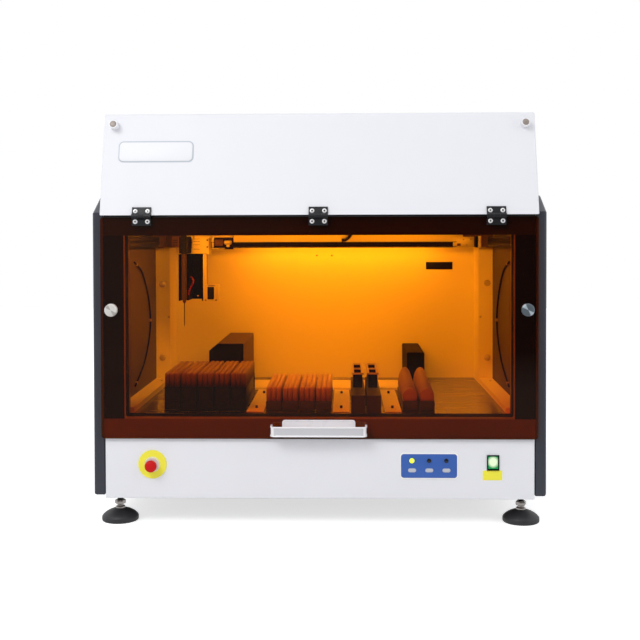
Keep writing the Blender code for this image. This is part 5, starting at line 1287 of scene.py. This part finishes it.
# the short hose and the screw on the probe housing: X from its right, Y from its front, Z
HOUSING_HOSE = (
    (-0.03, -0.0012, 0.513), (-0.026, -0.0034, 0.5105), (-0.0225, -0.004, 0.5035),
    (-0.026, -0.0036, 0.493),
    (-0.0318, -0.0026, 0.482), (-0.0345, -0.0014, 0.469),
)
HOUSING_SCREW, HOUSING_SCREW_X, HOUSING_SCREW_Z = (0.0026, 0.0012), 0.024, 0.007
low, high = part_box("probe_housing")
hose = smooth_path([(high.x + x, low.y + y, z) for x, y, z in HOUSING_HOSE])
at_screw = seen("probe_housing", high.x - HOUSING_SCREW_X, low.z + HOUSING_SCREW_Z)
parts = [(pipe(hose, HOUSING_HOSE_RADIUS), 0), *ring_screw(*at_screw, *HOUSING_SCREW, 1, 2)]
make("housing_hose", parts, "hose_red bright_steel dark_steel", "carriage")

# the sensor's dark slot, the bar over it and its two feet
SENSOR_X, SENSOR_Z = 0.0183, 0.0185
SENSOR_BOXES = (
    ((-0.0104, 0.0092), (-0.0004, 0.004), (-0.0172, 0.0172), 0.003, 0),
    ((-0.0065, 0.011), (-0.001, 0.003), (0.0172, 0.0188), 0.0006, 1),
    ((-0.0143, -0.0107), (-0.0008, 0.002), (-0.0184, -0.015), 0.0006, 1),
    ((0.0107, 0.0143), (-0.0008, 0.002), (-0.0184, -0.015), 0.0006, 1),
)
low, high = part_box("level_sensor")
parts = boxes(SENSOR_BOXES, high.x - SENSOR_X, low.y, low.z + SENSOR_Z)
make("sensor_slot", parts, "plate_black motor_brown", "carriage")

# Dark bands along the long edges of the door sheet

BAND_INSET, BAND_SINK, BAND_PROUD, BAND_HOLD = 0.001, 0.0002, 0.0005, 0.0001
low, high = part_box("door_panel")
parts = []
for first, last in ((low.z - BAND_PROUD, low.z + BAND_HOLD), (high.z - BAND_HOLD, high.z + BAND_PROUD)):
    start = (low.x + BAND_INSET, low.y + BAND_SINK, first)
    parts.append((block(start, (high.x - BAND_INSET, high.y - BAND_SINK, last), BAND_HOLD), 0))
make("door_edges", parts, "rubber", "door")

# The pull: a bow with a lip along its top and bottom, a shelf and a dished plate

TALL, WALL, TURN, TURN_STEPS, FIT = 0.0208, 0.0038, 0.012, 8, 0.0001
# the bow's section: inwards from its face, and up
SECTION = (
    (0.0004, 0.0), (0.0, 0.0006), (0.0, 0.0017), (0.0004, 0.0023), (0.0013, 0.0028),
    (0.0013, TALL - 0.0028),
    (0.0004, TALL - 0.0023), (0.0, TALL - 0.0017), (0.0, TALL - 0.0006), (0.0004, TALL),
    (WALL - 0.0004, TALL),
    (WALL, TALL - 0.0004), (WALL, 0.0004), (WALL - 0.0004, 0.0),
)
SHELF_INSET, SHELF_LEVELS = 0.0012, (0.0002, 0.0038)
DISH_WIDE, DISH_THICK, DISH_CORNER, DISH_CORNER_SHARE = 0.1528, 0.0038, 0.0058, 0.8
# how far each ring of the plate lies inside its outline, and below its face
DISH = (
    (0, 0.0038), (0, 0.0008), (0.0003, 0.0002), (0.001, 0), (0.0022, 0), (0.003, 0.0003),
    (0.0036, 0.0012),
)
GRIP_SHADE_LOW, GRIP_SHADE_HIGH, GRIP_SHADE_DEPTH = 0.0029, 0.0028, 0.0022

low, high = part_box("door_handle")
half = (high.x - low.x) / 2 - FIT
front, rest = low.y + FIT, high.y - FIT
way = [(-half, rest), (-half, (rest + front) / 2)]
for k in range(TURN_STEPS + 1):
    turn = math.pi / 2 * k / TURN_STEPS
    way.append((-half + TURN * (1 - math.cos(turn)), front + TURN * (1 - math.sin(turn))))
way += [(x * half / 8, front) for x in (-5, -3, -1)]
way += [(-x, y) for x, y in reversed(way)]
rings = []
for k, (x, y) in enumerate(way):
    before, after = way[max(k - 1, 0)], way[min(k + 1, len(way) - 1)]
    along = Vector((after[0] - before[0], after[1] - before[1])).normalized()
    rings.append([(x - along.y * a, y + along.x * a, low.z + FIT + b) for a, b in SECTION])
shelf = [(x * (1 - SHELF_INSET / half), y + SHELF_INSET) for x, y in way[1:-1]]
shelf = [(shelf[0][0], rest), *shelf, (shelf[-1][0], rest)]
parts = [(loft(rings), 0), (loft([[(x, y, low.z + z) for x, y in shelf] for z in SHELF_LEVELS]), 1)]
tall = high.z - low.z - 2 * FIT
rings = []
for shrink, sunk in DISH:
    corner = DISH_CORNER - shrink * DISH_CORNER_SHARE
    points = outline(DISH_WIDE - 2 * shrink, tall - 2 * shrink, corner, 6)
    rings.append([(x, y, DISH_THICK - sunk) for x, y in points])
parts.append((placed(loft(rings), facing((0, rest, (low.z + high.z) / 2), TO_FRONT)), 1))
# painted shade: the bow's face between its lips is grey on the same white plastic
surface(
    "grip_white", (250, 249, 250), 0.3, 0.01, 9, 0.04, 600,
    other=((204, 202, 206), 0.35, 0.0),
    mask=within((-1, -1, low.z + GRIP_SHADE_LOW), (1, front + GRIP_SHADE_DEPTH, low.z + TALL - GRIP_SHADE_HIGH)),
)
make("pull_handle", parts, "grip_white plastic_white", "door", ("door_handle",))

# A black seal closes the gap between the header and the hood

SEAL_HALF, SEAL_DEPTH, SEAL_LEVELS, SEAL_EDGE = 0.4508, (0.003, 0.0048), (0.0002, 0.0092), 0.0005
rows = (((-SEAL_HALF, SEAL_HALF), SEAL_DEPTH, SEAL_LEVELS, SEAL_EDGE, 0),)
make("hood_seal", boxes(rows, 0, FRONT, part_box("front_frame")[1].z), "rubber", "cabinet")

# The size of the visual model

size = [[float(v) for v in corner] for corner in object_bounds()]

bpy.context.scene.view_settings.view_transform = "Standard"
